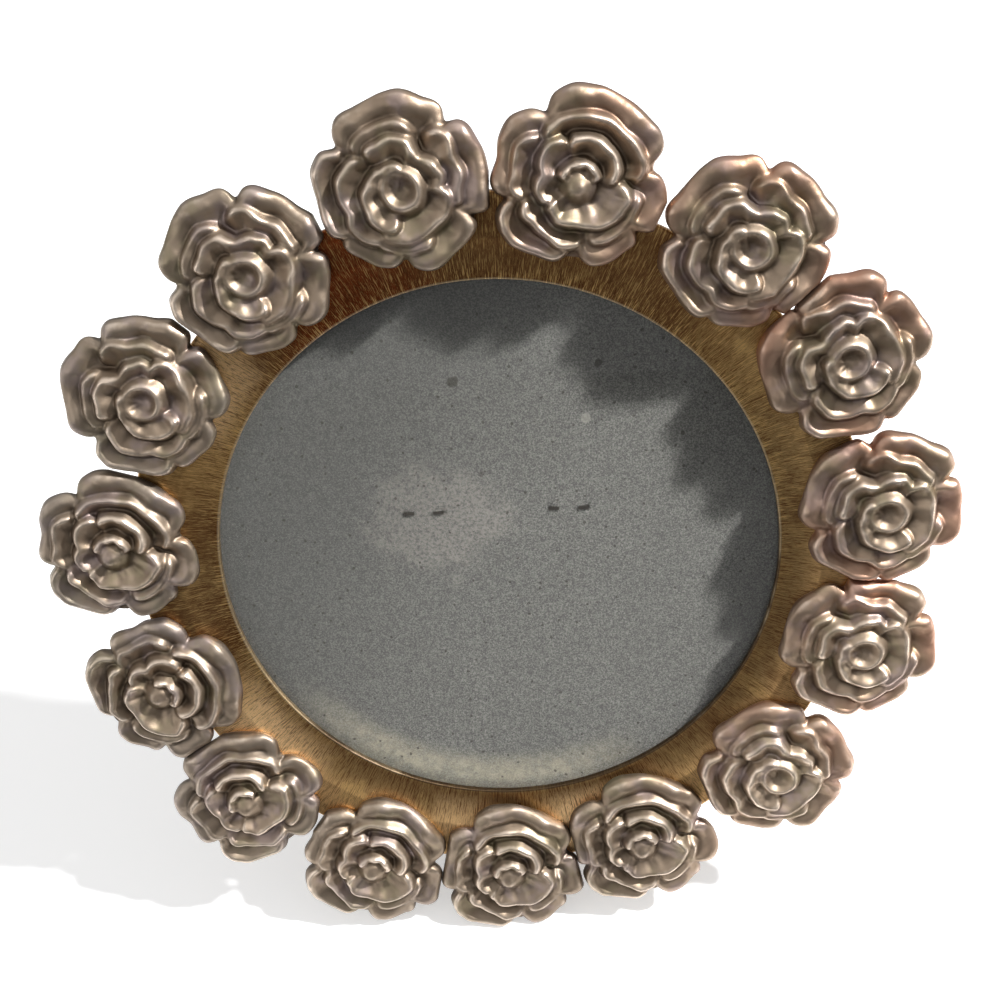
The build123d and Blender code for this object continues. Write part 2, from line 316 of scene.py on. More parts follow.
class Effects:
    """The shader groups that more than one finish uses, each built once."""

    scratch_edge = (0.56, 0.64)
    hair_edge = (0.58, 0.66)
    hair_size = 3.1
    hair_share = 0.7
    groove_edge = (0.46, 0.37)
    fleck_push = 0.0006
    wear_cloud = 0.36
    fold_edge = (0.12, 0.5)
    rub_edge = (0.62, 0.95)
    wide_grain = 0.18

    def __init__(self) -> None:
        """Builds every group."""
        self.ray_scratches = self._ray_scratches()
        self.speckle = self._speckle()
        self.wear = self._wear()
        self.grain = self._grain()

    def _ray_scratches(self) -> NodeTree:
        """Scratches that run out from the middle of a ring, like the marks of a wire brush.

        Returns:
            The group, with bright lines, dark grooves and a height.
        """
        inputs = {"Vector": (VECTOR, None), "Count": (FLOAT, 90.0), "Reach": (FLOAT, 60.0)}
        outputs = {"Lines": FLOAT, "Grooves": FLOAT, "Height": FLOAT}
        sheet = GroupSheet("Ray scratches", inputs, outputs)
        x, y, _ = sheet.split(sheet.given["Vector"])
        flat = sheet.gather(x, y)
        along = sheet.times(sheet.vector("LENGTH", flat), sheet.given["Reach"])
        heading = sheet.vector("NORMALIZE", flat)
        across, up, _ = sheet.split(sheet.vector("SCALE", heading, Scale=sheet.given["Count"]))
        where = sheet.gather(across, up, along)
        coarse = sheet.noise(where, 1.0, 2.0)
        fine = sheet.noise(where, self.hair_size, 2.0)
        hair = sheet.times(sheet.spread(fine, *self.hair_edge), self.hair_share)
        lines = sheet.most(sheet.spread(coarse, *self.scratch_edge), hair)
        grooves = sheet.spread(sheet.maths("MINIMUM", coarse, fine), *self.groove_edge)
        height = sheet.plus(sheet.times(coarse, 0.6), sheet.times(fine, 0.4))
        return sheet.close(Lines=lines, Grooves=grooves, Height=height)

    def _speckle(self) -> NodeTree:
        """Small scattered flecks, as of bark and ink in pulp.

        Returns:
            The group, with a mask of the flecks.
        """
        inputs = {
            "Vector": (VECTOR, None), "Scale": (FLOAT, 400.0), "Size": (FLOAT, 0.12),
            "Share": (FLOAT, 0.2),
        }
        sheet = GroupSheet("Speckle", inputs, {"Flecks": FLOAT})
        given = sheet.given
        links = {"Vector": given["Vector"], "Scale": given["Scale"]}
        bent = sheet.add("ShaderNodeTexNoise", links).outputs[1]
        push = sheet.vector("SCALE", bent, Scale=self.fleck_push)
        links = {0: given["Vector"], 1: push}
        moved = sheet.add("ShaderNodeVectorMath", links, operation="ADD").outputs[0]
        links = {"Vector": moved, "Scale": given["Scale"]}
        cells = sheet.add("ShaderNodeTexVoronoi", links).outputs
        near = sheet.maths("LESS_THAN", cells["Distance"], given["Size"])
        pick = sheet.add("ShaderNodeSeparateColor", {0: cells["Color"]}).outputs[0]
        return sheet.close(Flecks=sheet.times(near, sheet.maths("LESS_THAN", pick, given["Share"])))

    def _wear(self) -> NodeTree:
        """Dark folds, a body colour and rubbed high places, from a mask that noise breaks up.

        Returns:
            The group, with a colour and a mask of the rubbed places.
        """
        inputs = {
            "Vector": (VECTOR, None), "Mask": (FLOAT, 0.5), "Scale": (FLOAT, 400.0),
            "Fold": (COLOUR, (0.1, 0.1, 0.1, 1)), "Body": (COLOUR, (0.4, 0.4, 0.4, 1)),
            "Rubbed": (COLOUR, (0.8, 0.8, 0.8, 1)),
        }
        sheet = GroupSheet("Wear", inputs, {"Color": COLOUR, "Rub": FLOAT})
        given = sheet.given
        cloud = sheet.noise(given["Vector"], given["Scale"], 4.0)
        mask = sheet.plus(given["Mask"], sheet.times(sheet.minus(cloud, 0.5), self.wear_cloud))
        rub = sheet.spread(mask, *self.rub_edge)
        tone = sheet.mix(sheet.spread(mask, *self.fold_edge), given["Fold"], given["Body"])
        return sheet.close(Color=sheet.mix(rub, tone, given["Rubbed"]), Rub=rub)

    def _grain(self) -> NodeTree:
        """A fine surface height of two sizes of noise.

        Returns:
            The group, with the height and its wide part.
        """
        inputs = {"Vector": (VECTOR, None), "Scale": (FLOAT, 2000.0), "Coarse": (FLOAT, 0.5)}
        sheet = GroupSheet("Grain", inputs, {"Height": FLOAT, "Cloud": FLOAT})
        given = sheet.given
        wide = sheet.noise(given["Vector"], sheet.times(given["Scale"], self.wide_grain))
        fine = sheet.noise(given["Vector"], given["Scale"])
        return sheet.close(Height=sheet.plus(fine, sheet.times(wide, given["Coarse"])), Cloud=wide)


class Surface(Sheet):
    """The sheet of a material, with the shared groups and the place in the ring's plane."""

    def __init__(self, tree: NodeTree, effects: Effects) -> None:
        """Keeps the groups and finds the place, in metres."""
        super().__init__(tree)
        self.effects = effects
        self.where = self.ring_coords()


class Metal(Enum):
    """The tones that BrushedGold's patches can take."""

    COPPER = "copper"
    BROWN = "brown"
    GOLD = "gold"
    # Painted highlight rather than a metal of its own.
    PAINTED_HIGHLIGHT = "pale"


@dataclass(frozen=True)
class Finish:
    """A finish that can be made into a material."""

    name: str

    def make(self, effects: Effects) -> Material:
        """Builds the material.

        Args:
            effects: The shared shader groups.

        Returns:
            The material.
        """
        material = bpy.data.materials.new(self.name)
        material.use_nodes = True
        sheet = Surface(material.node_tree, effects)
        shader = sheet.add("ShaderNodeBsdfPrincipled")
        for key, value in self.surface(sheet).items():
            sheet.put(shader, key, value)
        sheet.add("ShaderNodeOutputMaterial", {"Surface": self.cover(sheet, shader.outputs[0])})
        return material

    def surface(self, sheet: Surface) -> Sockets:
        """The shader's inputs by name; each finish says its own."""
        raise NotImplementedError

    def cover(self, sheet: Surface, shader: Socket) -> Socket:
        """The shader that reaches the surface."""
        return shader


@dataclass(frozen=True)
class RoseMetal(Finish):
    """Satin cast metal, dark in the folds, rubbed bright on the petal lips.

    The mesh says how high each place is in its casting, how warm and cool it is, and the painted
    light and painted shade that it takes by its side of the ring.
    """

    fold: tuple = colour(98, 84, 70)
    body: tuple = colour(148, 131, 113)
    rubbed: tuple = colour(222, 204, 186)
    blush: tuple = colour(172, 126, 104)
    steel: tuple = colour(140, 141, 140)
    lilac: tuple = colour(158, 142, 143)
    olive: tuple = colour(140, 132, 102)
    hue_edge: tuple = (0.5, 0.66, 0.0)
    lilac_share: float = 0.45
    olive_share: float = 0.4
    satin: float = 0.41
    rubbed_satin: float = 0.32
    cloudy: float = 0.1
    grain_depth: float = 0.00003

    def surface(self, sheet: Surface) -> Sockets:
        """Draws the worn, drifting tone and the fine grain.

        Args:
            sheet: The sheet of the material.

        Returns:
            The shader's inputs by name.
        """
        where = sheet.where
        warm, cool, painted_light = sheet.split(sheet.attribute("tint", "Vector"))
        tones = {"Fold": self.fold, "Body": self.body, "Rubbed": self.rubbed}
        mask = sheet.attribute("relief", "Fac")
        worn = sheet.use(sheet.effects.wear, Vector=where, Mask=mask, Scale=420.0, **tones)
        pink = sheet.spread(sheet.noise(where, 170.0), *self.hue_edge, self.lilac_share)
        green = sheet.spread(sheet.noise(where, 130.0, 3.0, 0.7), *self.hue_edge, self.olive_share)
        tone = sheet.mix(pink, worn["Color"], self.lilac)
        for share, metal in ((green, self.olive), (warm, self.blush), (cool, self.steel)):
            tone = sheet.mix(share, tone, metal)
        # Painted light and painted shade: the tint's third part lightens the roses to the lower
        # right and darkens those at the bottom.
        tone = sheet.mix(1.0, tone, painted_light, "MULTIPLY")
        grain = sheet.use(sheet.effects.grain, Vector=where, Scale=2600.0, Coarse=1.4)
        rough = sheet.spread(worn["Rub"], 0, 1, self.satin, self.rubbed_satin)
        rough = sheet.plus(rough, sheet.times(grain["Cloud"], self.cloudy))
        normal = sheet.bump(grain["Height"], self.grain_depth, 0.5)
        return {"Base Color": tone, "Metallic": 0.9, "Roughness": rough, "Normal": normal}


@dataclass(frozen=True)
class BrushedGold(Finish):
    """Antiqued gold, scratched outwards from the window, red-brown at its top, with painted
    highlight on the lower part of the cove and a trim at the window that is painted highlight at
    the top and painted shade below.

    A patch is a heading and a half width in degrees, a strength and a metal. The distances
    from the ring's axis, in mm, say where each effect starts and ends.
    """

    brown: tuple = colour(92, 54, 28)
    umber: tuple = colour(136, 100, 62)
    copper: tuple = colour(128, 56, 24)
    olive: tuple = colour(164, 134, 90)
    # warm: painted highlight on the outside of the lower part.
    warm: tuple = colour(236, 190, 132)
    gold: tuple = colour(238, 196, 128)
    # edge and shade: the window's trim, pale cream at the top as painted highlight, dark at the
    # bottom as painted shade.
    edge: tuple = colour(204, 188, 156)
    shade: tuple = colour(58, 48, 38)
    plain: tuple = colour(178, 146, 92)
    # Painted highlight: the pale gold of the patches on the cove, most of them on its lower part.
    pale: tuple = colour(255, 214, 160)
    patches: tuple = (
        (116, 21, 0.95, Metal.COPPER), (190, 11, 0.55, Metal.BROWN), (154, 16, 0.4, Metal.GOLD),
        (40, 12, 0.3, Metal.GOLD), (146, 13, 0.8, Metal.PAINTED_HIGHLIGHT), (217, 17, 1.0, Metal.PAINTED_HIGHLIGHT),
        (262, 10, 0.4, Metal.PAINTED_HIGHLIGHT), (288, 16, 1.0, Metal.PAINTED_HIGHLIGHT),
    )
    window_trim: tuple = (44.7, 44.9)
    window_shade: tuple = (44.7, 49.2)
    bright_lines: tuple = (44.7, 47.8)
    dark_lines: tuple = (45.2, 51.0)
    painted_highlight_band: tuple = (44.6, 48.0)
    painted_outer_highlight: tuple = (46.5, 53.0)
    back_band: tuple = (47.0, 49.0)
    scratch_depth: float = 0.00006
    shine: float = 0.36
    shine_swing: float = 0.06

    def surface(self, sheet: Surface) -> Sockets:
        """Draws the aged tone, then the brush marks, the ring's back and its window trim.

        Args:
            sheet: The sheet of the material.

        Returns:
            The shader's inputs by name.
        """
        where = sheet.where
        x, y, z = sheet.split(where)
        away = sheet.far(x, y)
        cloud = sheet.noise(where, 110.0, 4.0, 0.6)
        drift = sheet.times(sheet.minus(cloud, 0.5), 0.05)
        upper = sheet.plus(sheet.minus(y, sheet.times(x, 0.35)), drift)
        lower = sheet.ramp(sheet.plus(upper, drift), 4.0, -36.0)
        tone = self.age_and_painted_light(sheet, away, cloud, upper, lower)
        for heading, half, share, metal in self.patches:
            turn = math.radians(heading)
            facing = sheet.plus(sheet.times(x, math.cos(turn)), sheet.times(y, math.sin(turn)))
            facing = sheet.plus(sheet.maths("DIVIDE", facing, away), drift)
            patch = sheet.spread(facing, math.cos(math.radians(half)), 1.0, 0.0, share)
            # Pale patches are painted highlight, kept to the cove near the window.
            if metal is Metal.PAINTED_HIGHLIGHT:
                patch = sheet.times(patch, sheet.ramp(away, *self.painted_highlight_band))
            tone = sheet.mix(patch, tone, getattr(self, metal.value))
        shaded = sheet.times(sheet.ramp(away, *self.window_shade, 0.35, 0.0), lower)
        tone = sheet.mix(shaded, tone, self.brown)
        lines = sheet.use(sheet.effects.ray_scratches, Vector=where, Count=300.0, Reach=430.0)
        groove = sheet.times(lines["Grooves"], sheet.ramp(away, *self.dark_lines, 0.88, 0.62))
        tone = sheet.mix(groove, tone, self.brown)
        near = sheet.ramp(away, *self.bright_lines, 1.0, 0.6)
        near = sheet.times(near, sheet.ramp(upper, -30.0, 0.0, 0.3, 1.0))
        tone = sheet.mix(sheet.times(lines["Lines"], near), tone, self.gold)
        behind = sheet.times(sheet.ramp(z, 0.6, 0.3), sheet.ramp(away, *self.back_band))
        back = sheet.mix(sheet.spread(cloud, 0.35, 0.65), self.plain, self.olive)
        tone = sheet.mix(behind, tone, back)
        # The window's trim is painted highlight at the top and painted shade at the bottom.
        trim = sheet.ramp(away, *self.window_trim, 1.0, 0.0)
        trim = sheet.times(trim, sheet.spread(lower, 0, 1, 0.4, 0.85))
        tone = sheet.mix(trim, tone, sheet.mix(lower, self.edge, self.shade))
        dull, bright = self.shine + self.shine_swing, self.shine - self.shine_swing
        rough = sheet.spread(lines["Lines"], 0, 1, dull, bright)
        normal = sheet.bump(lines["Height"], self.scratch_depth, 1.0)
        return {"Base Color": tone, "Metallic": 1.0, "Roughness": rough, "Normal": normal}

    def age_and_painted_light(
        self, sheet: Surface, away: Socket, cloud: Socket, upper: Socket, lower: Socket
    ) -> Socket:
        """Umber at the top, olive below it and warm gold at the outside of the lower part, which is
        painted highlight.

        Args:
            sheet: The sheet of the material.
            away: The distance from the ring's axis, in metres.
            cloud: A wide noise.
            upper: How far up the ring a place is, in metres.
            lower: How much a place belongs to the ring's lower part.

        Returns:
            The tone, with its painted highlight.
        """
        drift = sheet.times(sheet.minus(cloud, 0.5), 0.005)
        outer = sheet.ramp(sheet.plus(away, drift), *self.painted_outer_highlight)
        tone = sheet.mix(sheet.ramp(upper, 0.0, 30.0), self.olive, self.umber)
        # Painted highlight: warm gold on the outside of the lower part, where the cove faces the
        # light.
        tone = sheet.mix(sheet.times(outer, lower, 0.75), tone, self.warm)
        tone = sheet.mix(sheet.spread(cloud, 0.52, 0.68, 0.0, 0.5), tone, self.brown)
        return sheet.mix(sheet.spread(cloud, 0.46, 0.34, 0.0, 0.4), tone, self.gold)


@dataclass(frozen=True)
class PictureGlass(Finish):
    """Clear picture glass that lets the lamps through to the board."""

    tint: tuple = (0.985, 0.985, 0.98, 1)
    smeared: float = 0.03

    def surface(self, sheet: Surface) -> Sockets:
        """Draws faint smears on clear glass.

        Args:
            sheet: The sheet of the material.

        Returns:
            The shader's inputs by name.
        """
        smear = sheet.noise(sheet.where, 60.0, 2.0)
        rough = sheet.spread(smear, 0.4, 0.7, 0.0, self.smeared)
        return {"Base Color": self.tint, "Roughness": rough, "IOR": 1.5, "Transmission Weight": 1.0}

    def cover(self, sheet: Surface, shader: Socket) -> Socket:
        """Makes the glass clear to shadow rays.

        Args:
            sheet: The sheet of the material.
            shader: The glass shader.

        Returns:
            The mixed shader.
        """
        clear = sheet.add("ShaderNodeBsdfTransparent", {0: self.tint}).outputs[0]
        shadow = sheet.add("ShaderNodeLightPath").outputs["Is Shadow Ray"]
        return sheet.add("ShaderNodeMixShader", {0: shadow, 1: shader, 2: clear}).outputs[0]


@dataclass(frozen=True)
class Chipboard(Finish):
    """Grey chipboard with fibres, clouds and flecks.

    The scuff is a place in the ring's plane as X, Y and radius, in mm, and so is each mark,
    with a strength that is below 0 if the mark is pale. The staple holes are two pairs: how
    far each pair is from the middle, half the gap in a pair and the height of all, in mm.
    """

    dark: tuple = colour(78, 78, 75)
    light: tuple = colour(132, 131, 126)
    painted_shade_tone: tuple = colour(62, 62, 60)
    fibre: tuple = colour(160, 157, 148)
    fleck: tuple = colour(52, 48, 42)
    scuffed: tuple = colour(147, 142, 135)
    # Painted light: the pale warm band that the gold throws onto the board.
    painted_bounce_light: tuple = colour(200, 191, 163)
    scuff: tuple = (-10.0, 5.6, 8.6)
    staples: tuple = (11.5, 2.9, 7.0)
    backing: bool = True
    marks: tuple = (
        (-5.7, 28.5, 1.15, 0.75), (16.6, 30.6, 0.7, 0.8), (29.5, 18.8, 0.35, 0.8),
        (14.5, 21.8, 1.0, -0.4), (-1.9, 13.3, 0.6, 0.5),
    )
    grain_depth: float = 0.00003

    def surface(self, sheet: Surface) -> Sockets:
        """Draws pulp, flecks and, on the backing board, its age, its painted shade and painted
        light, and its marks.

        Args:
            sheet: The sheet of the material.

        Returns:
            The shader's inputs by name.
        """
        where = sheet.where
        height = sheet.use(sheet.effects.grain, Vector=where, Scale=4600.0, Coarse=0.16)["Height"]
        cloud = sheet.noise(where, 55.0, 4.0, 0.6)
        tone = sheet.mix(sheet.spread(height, 0.42, 0.82), self.dark, self.light)
        tone = sheet.mix(sheet.spread(cloud, 0.35, 0.7, 0.0, 0.12), tone, self.dark)
        if self.backing:
            tone = self.age_and_painted_light(sheet, tone)
        flecks = ((620.0, 0.2, 0.16, 0.12, self.fibre), (640.0, 0.15, 0.42, 0.75, self.fleck))
        for scale, size, share, strength, pulp in flecks:
            links = {"Vector": where, "Scale": scale, "Size": size, "Share": share}
            seen = sheet.use(sheet.effects.speckle, **links)["Flecks"]
            tone = sheet.mix(sheet.times(seen, strength), tone, pulp)
        if self.backing:
            tone, height = self.pierced(sheet, tone, height)
        normal = sheet.bump(height, self.grain_depth, 0.6)
        return {"Base Color": tone, "Roughness": 0.9, "Normal": normal}

    def age_and_painted_light(self, sheet: Surface, tone: Socket) -> Socket:
        """Draws a scuffed patch, painted shade to the upper left and a band of painted light along
        the lower rim of the window, as if bounced from the gold.

        Args:
            sheet: The sheet of the material.
            tone: The board's tone so far.

        Returns:
            The tone with age on it.
        """
        where = sheet.where
        x, y, _ = sheet.split(where)
        left, rise, reach = (value * MM for value in self.scuff)
        ragged, frayed = sheet.stir(where, 240.0, 0.012, 4.0), sheet.stir(where, 1500.0, 0.006)
        patch = sheet.far(sheet.times(sheet.minus(x, left), 0.72), sheet.minus(y, rise))
        patch = sheet.plus(patch, ragged, frayed)
        fuzz = sheet.spread(sheet.noise(where, 1900.0), 0.35, 0.65, 0.1, 0.9)
        torn = sheet.spread(patch, reach - 0.0024, reach + 0.0014, 0.7, 0.0)
        tone = sheet.mix(sheet.times(torn, fuzz), tone, self.scuffed)
        # Painted shade: the board darkens towards the upper left.
        slope = sheet.minus(sheet.times(y, 0.45), sheet.times(x, 0.8))
        tone = sheet.mix(sheet.ramp(slope, -6.0, 32.0, 0.0, 0.5), tone, self.painted_shade_tone)
        # Painted light: a pale warm band along the lower left rim of the window, light bounced from
        # the gold cove.
        away = sheet.far(x, y)
        down = sheet.plus(sheet.times(x, -0.2), sheet.times(y, -0.98))
        aim = sheet.spread(sheet.maths("DIVIDE", down, away), 0.68, 1.0, 0.0, 0.95)
        ridge = sheet.times(sheet.ramp(away, 37.2, 41.8), sheet.ramp(away, 42.8, 44.6, 1.0, 0.5))
        streaks = sheet.spread(sheet.noise(where, 420.0, 5.0, 0.7), 0.34, 0.66, 0.2, 0.46)
        return sheet.mix(sheet.times(ridge, streaks, aim), tone, self.painted_bounce_light)

    def pierced(self, sheet: Surface, tone: Socket, height: Socket) -> tuple[Socket, Socket]:
        """Draws spots and dents, and the holes that the staples have pressed in.

        Args:
            sheet: The sheet of the material.
            tone: The board's tone so far.
            height: The board's relief so far.

        Returns:
            The tone and the relief with the marks on them.
        """
        x, y, _ = sheet.split(sheet.where)
        ragged = sheet.stir(sheet.where, 900.0, 0.0012)
        for left, rise, reach, strength in self.marks:
            gap = sheet.far(sheet.minus(x, left * MM), sheet.minus(y, rise * MM))
            mark = sheet.ramp(sheet.plus(gap, ragged), 0.6 * reach, reach, abs(strength), 0.0)
            tone = sheet.mix(mark, tone, self.fleck if strength > 0 else self.fibre)
        # The staple holes: dark pulp and painted shade in each pit, with a dent in the relief.
        pair, half, rise = (value * MM for value in self.staples)
        beside = sheet.maths("ABSOLUTE", sheet.minus(sheet.maths("ABSOLUTE", x), pair))
        hole = sheet.plus(sheet.far(sheet.minus(beside, half), sheet.minus(y, rise)), ragged)
        tone = sheet.mix(sheet.ramp(hole, 0.1, 0.55, 0.8, 0.0), tone, self.fleck)
        return tone, sheet.plus(height, sheet.ramp(hole, 0.0, 1.1, -9.0, 0.0))


@dataclass(frozen=True)
class Velvet(Finish):
    """Short black velvet with brushed patches and a little lint."""

    pile: tuple = colour(34, 33, 36)
    turned: tuple = colour(48, 47, 50)
    lint: tuple = colour(150, 146, 140)
    pile_depth: float = 0.00012

    def surface(self, sheet: Surface) -> Sockets:
        """Draws the pile, the patches that were brushed the other way and the lint.

        Args:
            sheet: The sheet of the material.

        Returns:
            The shader's inputs by name.
        """
        where = sheet.where
        grain = sheet.use(sheet.effects.grain, Vector=where, Scale=2400.0, Coarse=0.4)
        swept = sheet.spread(sheet.noise(where, 90.0, 5.0, 0.65), 0.42, 0.66)
        lint = sheet.use(sheet.effects.speckle, Vector=where, Scale=500.0, Size=0.1, Share=0.03)
        tone = sheet.mix(swept, self.pile, self.turned)
        tone = sheet.mix(sheet.times(lint["Flecks"], 0.3), tone, self.lint)
        normal = sheet.bump(grain["Height"], self.pile_depth, 0.8)
        sheen = {"Sheen Weight": 0.6, "Sheen Roughness": 0.4}
        return {"Base Color": tone, "Roughness": 0.95, "Normal": normal, **sheen}


@dataclass(frozen=True)
class PlatedMetal(Finish):
    """Plated sheet or wire, lightly brushed, duller where it was handled."""

    bright: tuple
    dull: tuple
    shine: float = 0.3
    stretch: tuple = (120.0, 1800.0, 1800.0)
    brush_depth: float = 0.00001

    def surface(self, sheet: Surface) -> Sockets:
        """Draws the handled tone and the brushing.

        Args:
            sheet: The sheet of the material.

        Returns:
            The shader's inputs by name.
        """
        where = sheet.where
        drawn = sheet.add("ShaderNodeVectorMath", {0: where, 1: self.stretch}, operation="MULTIPLY")
        lines = sheet.noise(drawn.outputs[0], 1.0)
        tones = {"Fold": self.dull, "Body": self.bright, "Rubbed": self.bright}
        worn = sheet.use(sheet.effects.wear, Vector=where, Mask=0.5, Scale=300.0, **tones)
        rough = sheet.spread(lines, 0.3, 0.7, self.shine - 0.06, self.shine + 0.12)
        normal = sheet.bump(lines, self.brush_depth, 0.5)
        return {"Base Color": worn["Color"], "Metallic": 1.0, "Roughness": rough, "Normal": normal}


def make_piece(name: str, points: np.ndarray, faces: list, material: Material) -> Piece:
    """A smooth mesh from points in the ring's plane.

    Args:
        name: The piece's name.
        points: Its points in the ring's plane, in mm.
        faces: Its faces as lists of point numbers.
        material: Its material.

    Returns:
        The piece, at the origin, with its place in its mesh.
    """
    mesh = bpy.data.meshes.new(name)
    mesh.from_pydata(PLANE.world(points).tolist(), [], faces)
    mesh.materials.append(material)
    mesh.update()
    mesh.polygons.foreach_set("use_smooth", [True] * len(mesh.polygons))
    return place_object(name, mesh)


def hang(piece: Piece, slot: str, *nodes: str) -> None:
    """Ties a piece to the frame, and hides the CAD nodes that it stands for.

    Args:
        piece: The piece.
        slot: Not used.
        nodes: The CAD nodes that it replaces.
    """
    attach(piece, FRAME)
    if nodes:
        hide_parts(*nodes)
    log.info("%s rides on %s, %d faces", piece.name, FRAME, len(piece.data.polygons))


class Pattern(Sheet):
    """A Geometry Nodes tree with named inputs, run once on a base mesh."""

    weld_mm = 0.0005
    sharp_deg = 40.0

    def __init__(self, name: str, inputs: Inputs) -> None:
        """Opens the tree with its geometry sockets and its named inputs.

        Args:
            name: The tree's name.
            inputs: Each input's name with its kind and its value.
        """
        super().__init__(bpy.data.node_groups.new(name, "GeometryNodeTree"))
        for side in ("INPUT", "OUTPUT"):
            self.tree.interface.new_socket("Geometry", in_out=side, socket_type=SHAPE)
        self.values = {}
        for key, (kind, value) in inputs.items():
            socket = self.tree.interface.new_socket(key, in_out="INPUT", socket_type=kind)
            self.values[socket.identifier] = value
        self.given = self.add("NodeGroupInput").outputs

    def shape(self, kind: str, links: dict, **settings) -> Socket:
        """The geometry that one node gives."""
        return self.add(kind, links, **settings).outputs[0]

    def close(self, geometry: Socket) -> None:
        """Ends the tree by realizing its instances and setting its material."""
        real = self.shape("GeometryNodeRealizeInstances", {"Geometry": geometry})
        links = {"Geometry": real, "Material": self.given["Material"]}
        self.add("NodeGroupOutput", {"Geometry": self.shape("GeometryNodeSetMaterial", links)})

    def run(self, name: str, points: list, edges: list) -> Piece:
        """Runs the tree on loose points and edges, and keeps the result as a plain mesh.

        Args:
            name: The piece's name.
            points: Points in the ring's plane, in mm.
            edges: Pairs of the numbers of points that are joined.

        Returns:
            The piece, at the origin, with its place in its mesh.
        """
        base = bpy.data.meshes.new(f"{name}_base")
        base.from_pydata(points, edges, [])
        maker = place_object(f"{name}_maker", base)
        modifier = maker.modifiers.new("pattern", "NODES")
        modifier.node_group = self.tree
        for identifier, value in self.values.items():
            modifier[identifier] = value
        graph = bpy.context.evaluated_depsgraph_get()
        mesh = bpy.data.meshes.new_from_object(maker.evaluated_get(graph))
        maker.modifiers.remove(modifier)
        bpy.data.objects.remove(maker)
        shell = bmesh.new()
        shell.from_mesh(mesh)
        bmesh.ops.remove_doubles(shell, verts=shell.verts, dist=self.weld_mm)
        bmesh.ops.recalc_face_normals(shell, faces=shell.faces)
        shell.to_mesh(mesh)
        shell.free()
        place = Matrix.Translation(PLANE.centre) @ PLANE.turn.to_4x4()
        mesh.transform(place @ Matrix.Scale(MM, 4))
        mesh.polygons.foreach_set("use_smooth", [True] * len(mesh.polygons))
        mesh.set_sharp_from_angle(angle=math.radians(self.sharp_deg))
        mesh.name = name
        return place_object(name, mesh)


@dataclass
class TurnedRing:
    """The dished ring, one section turned round the window.

    The section is as in the CAD model, with its window edge and its rim softened.
    Sizes are in mm, and levels are above the plane of the window's edge.
    """

    finish: Material
    window: float = 44.5
    seat: float = -0.9
    cove_width: float = 6.6
    cove_rise: float = 1.9
    cove_steps: int = 16
    outside: float = 57.5
    rim_radius: float = 0.57
    rim_steps: int = 6
    flange_back: float = 0.2
    rim: float = 50.3
    corner: float = 0.12
    corner_level: float = 0.05
    segments: int = 360

    def cove(self) -> list[tuple[float, float]]:
        """The hollow of the dish, from near the window to the flange.

        Returns:
            Each corner's distance from the axis and its level.
        """
        start = Vector((self.window, 0))
        end = Vector((self.window + self.cove_width, self.cove_rise))
        middle = Vector((self.window + self.cove_width / 2, self.cove_rise / 3))
        sag = middle - (start + end) / 2
        shares = [step / self.cove_steps for step in range(2, self.cove_steps + 1)]
        bends = [4 * share * (1 - share) * sag for share in shares]
        return [tuple(start.lerp(end, share) + bend) for share, bend in zip(shares, bends)]

    def section(self) -> list[tuple[float, float]]:
        """The whole section, from the seat of the glass round to the back of the flange.

        Returns:
            Each corner's distance from the axis and its level.
        """
        lip = [
            (self.window, self.seat), (self.window, -self.corner),
            (self.window + 0.4 * self.corner, -0.3 * self.corner),
            (self.window + 1.5 * self.corner, self.corner_level),
        ]
        round_rim = []
        for step in range(self.rim_steps + 1):
            turn = math.radians(90 * (1 - step / self.rim_steps))
            away = self.outside - self.rim_radius * (1 - math.cos(turn))
            round_rim.append((away, self.cove_rise - self.rim_radius * (1 - math.sin(turn))))
        back = [
            (self.outside, self.flange_back), (self.rim, self.flange_back), (self.rim, self.seat),
        ]
        return lip + self.cove() + round_rim + back

    def build(self) -> None:
        """Turns the section and hangs the ring in the place of its CAD node."""
        tree = Pattern("Turned ring", {
            "Circle": (FLOAT, self.window), "Segments": (WHOLE, self.segments),
            "Material": (SURFACE, self.finish),
        })
        given = tree.given
        links = {"Resolution": given["Segments"], "Radius": given["Circle"]}
        circle = tree.shape("GeometryNodeCurvePrimitiveCircle", links)
        section = tree.shape("GeometryNodeMeshToCurve", {0: given["Geometry"]})
        links = {"Curve": circle, "Profile Curve": section}
        tree.close(tree.shape("GeometryNodeCurveToMesh", links))
        corners = [(away - self.window, -level, 0) for away, level in self.section()]
        edges = [(number, (number + 1) % len(corners)) for number in range(len(corners))]
        hang(tree.run("turned_ring", corners, edges), "ring_brass", "face_ring")


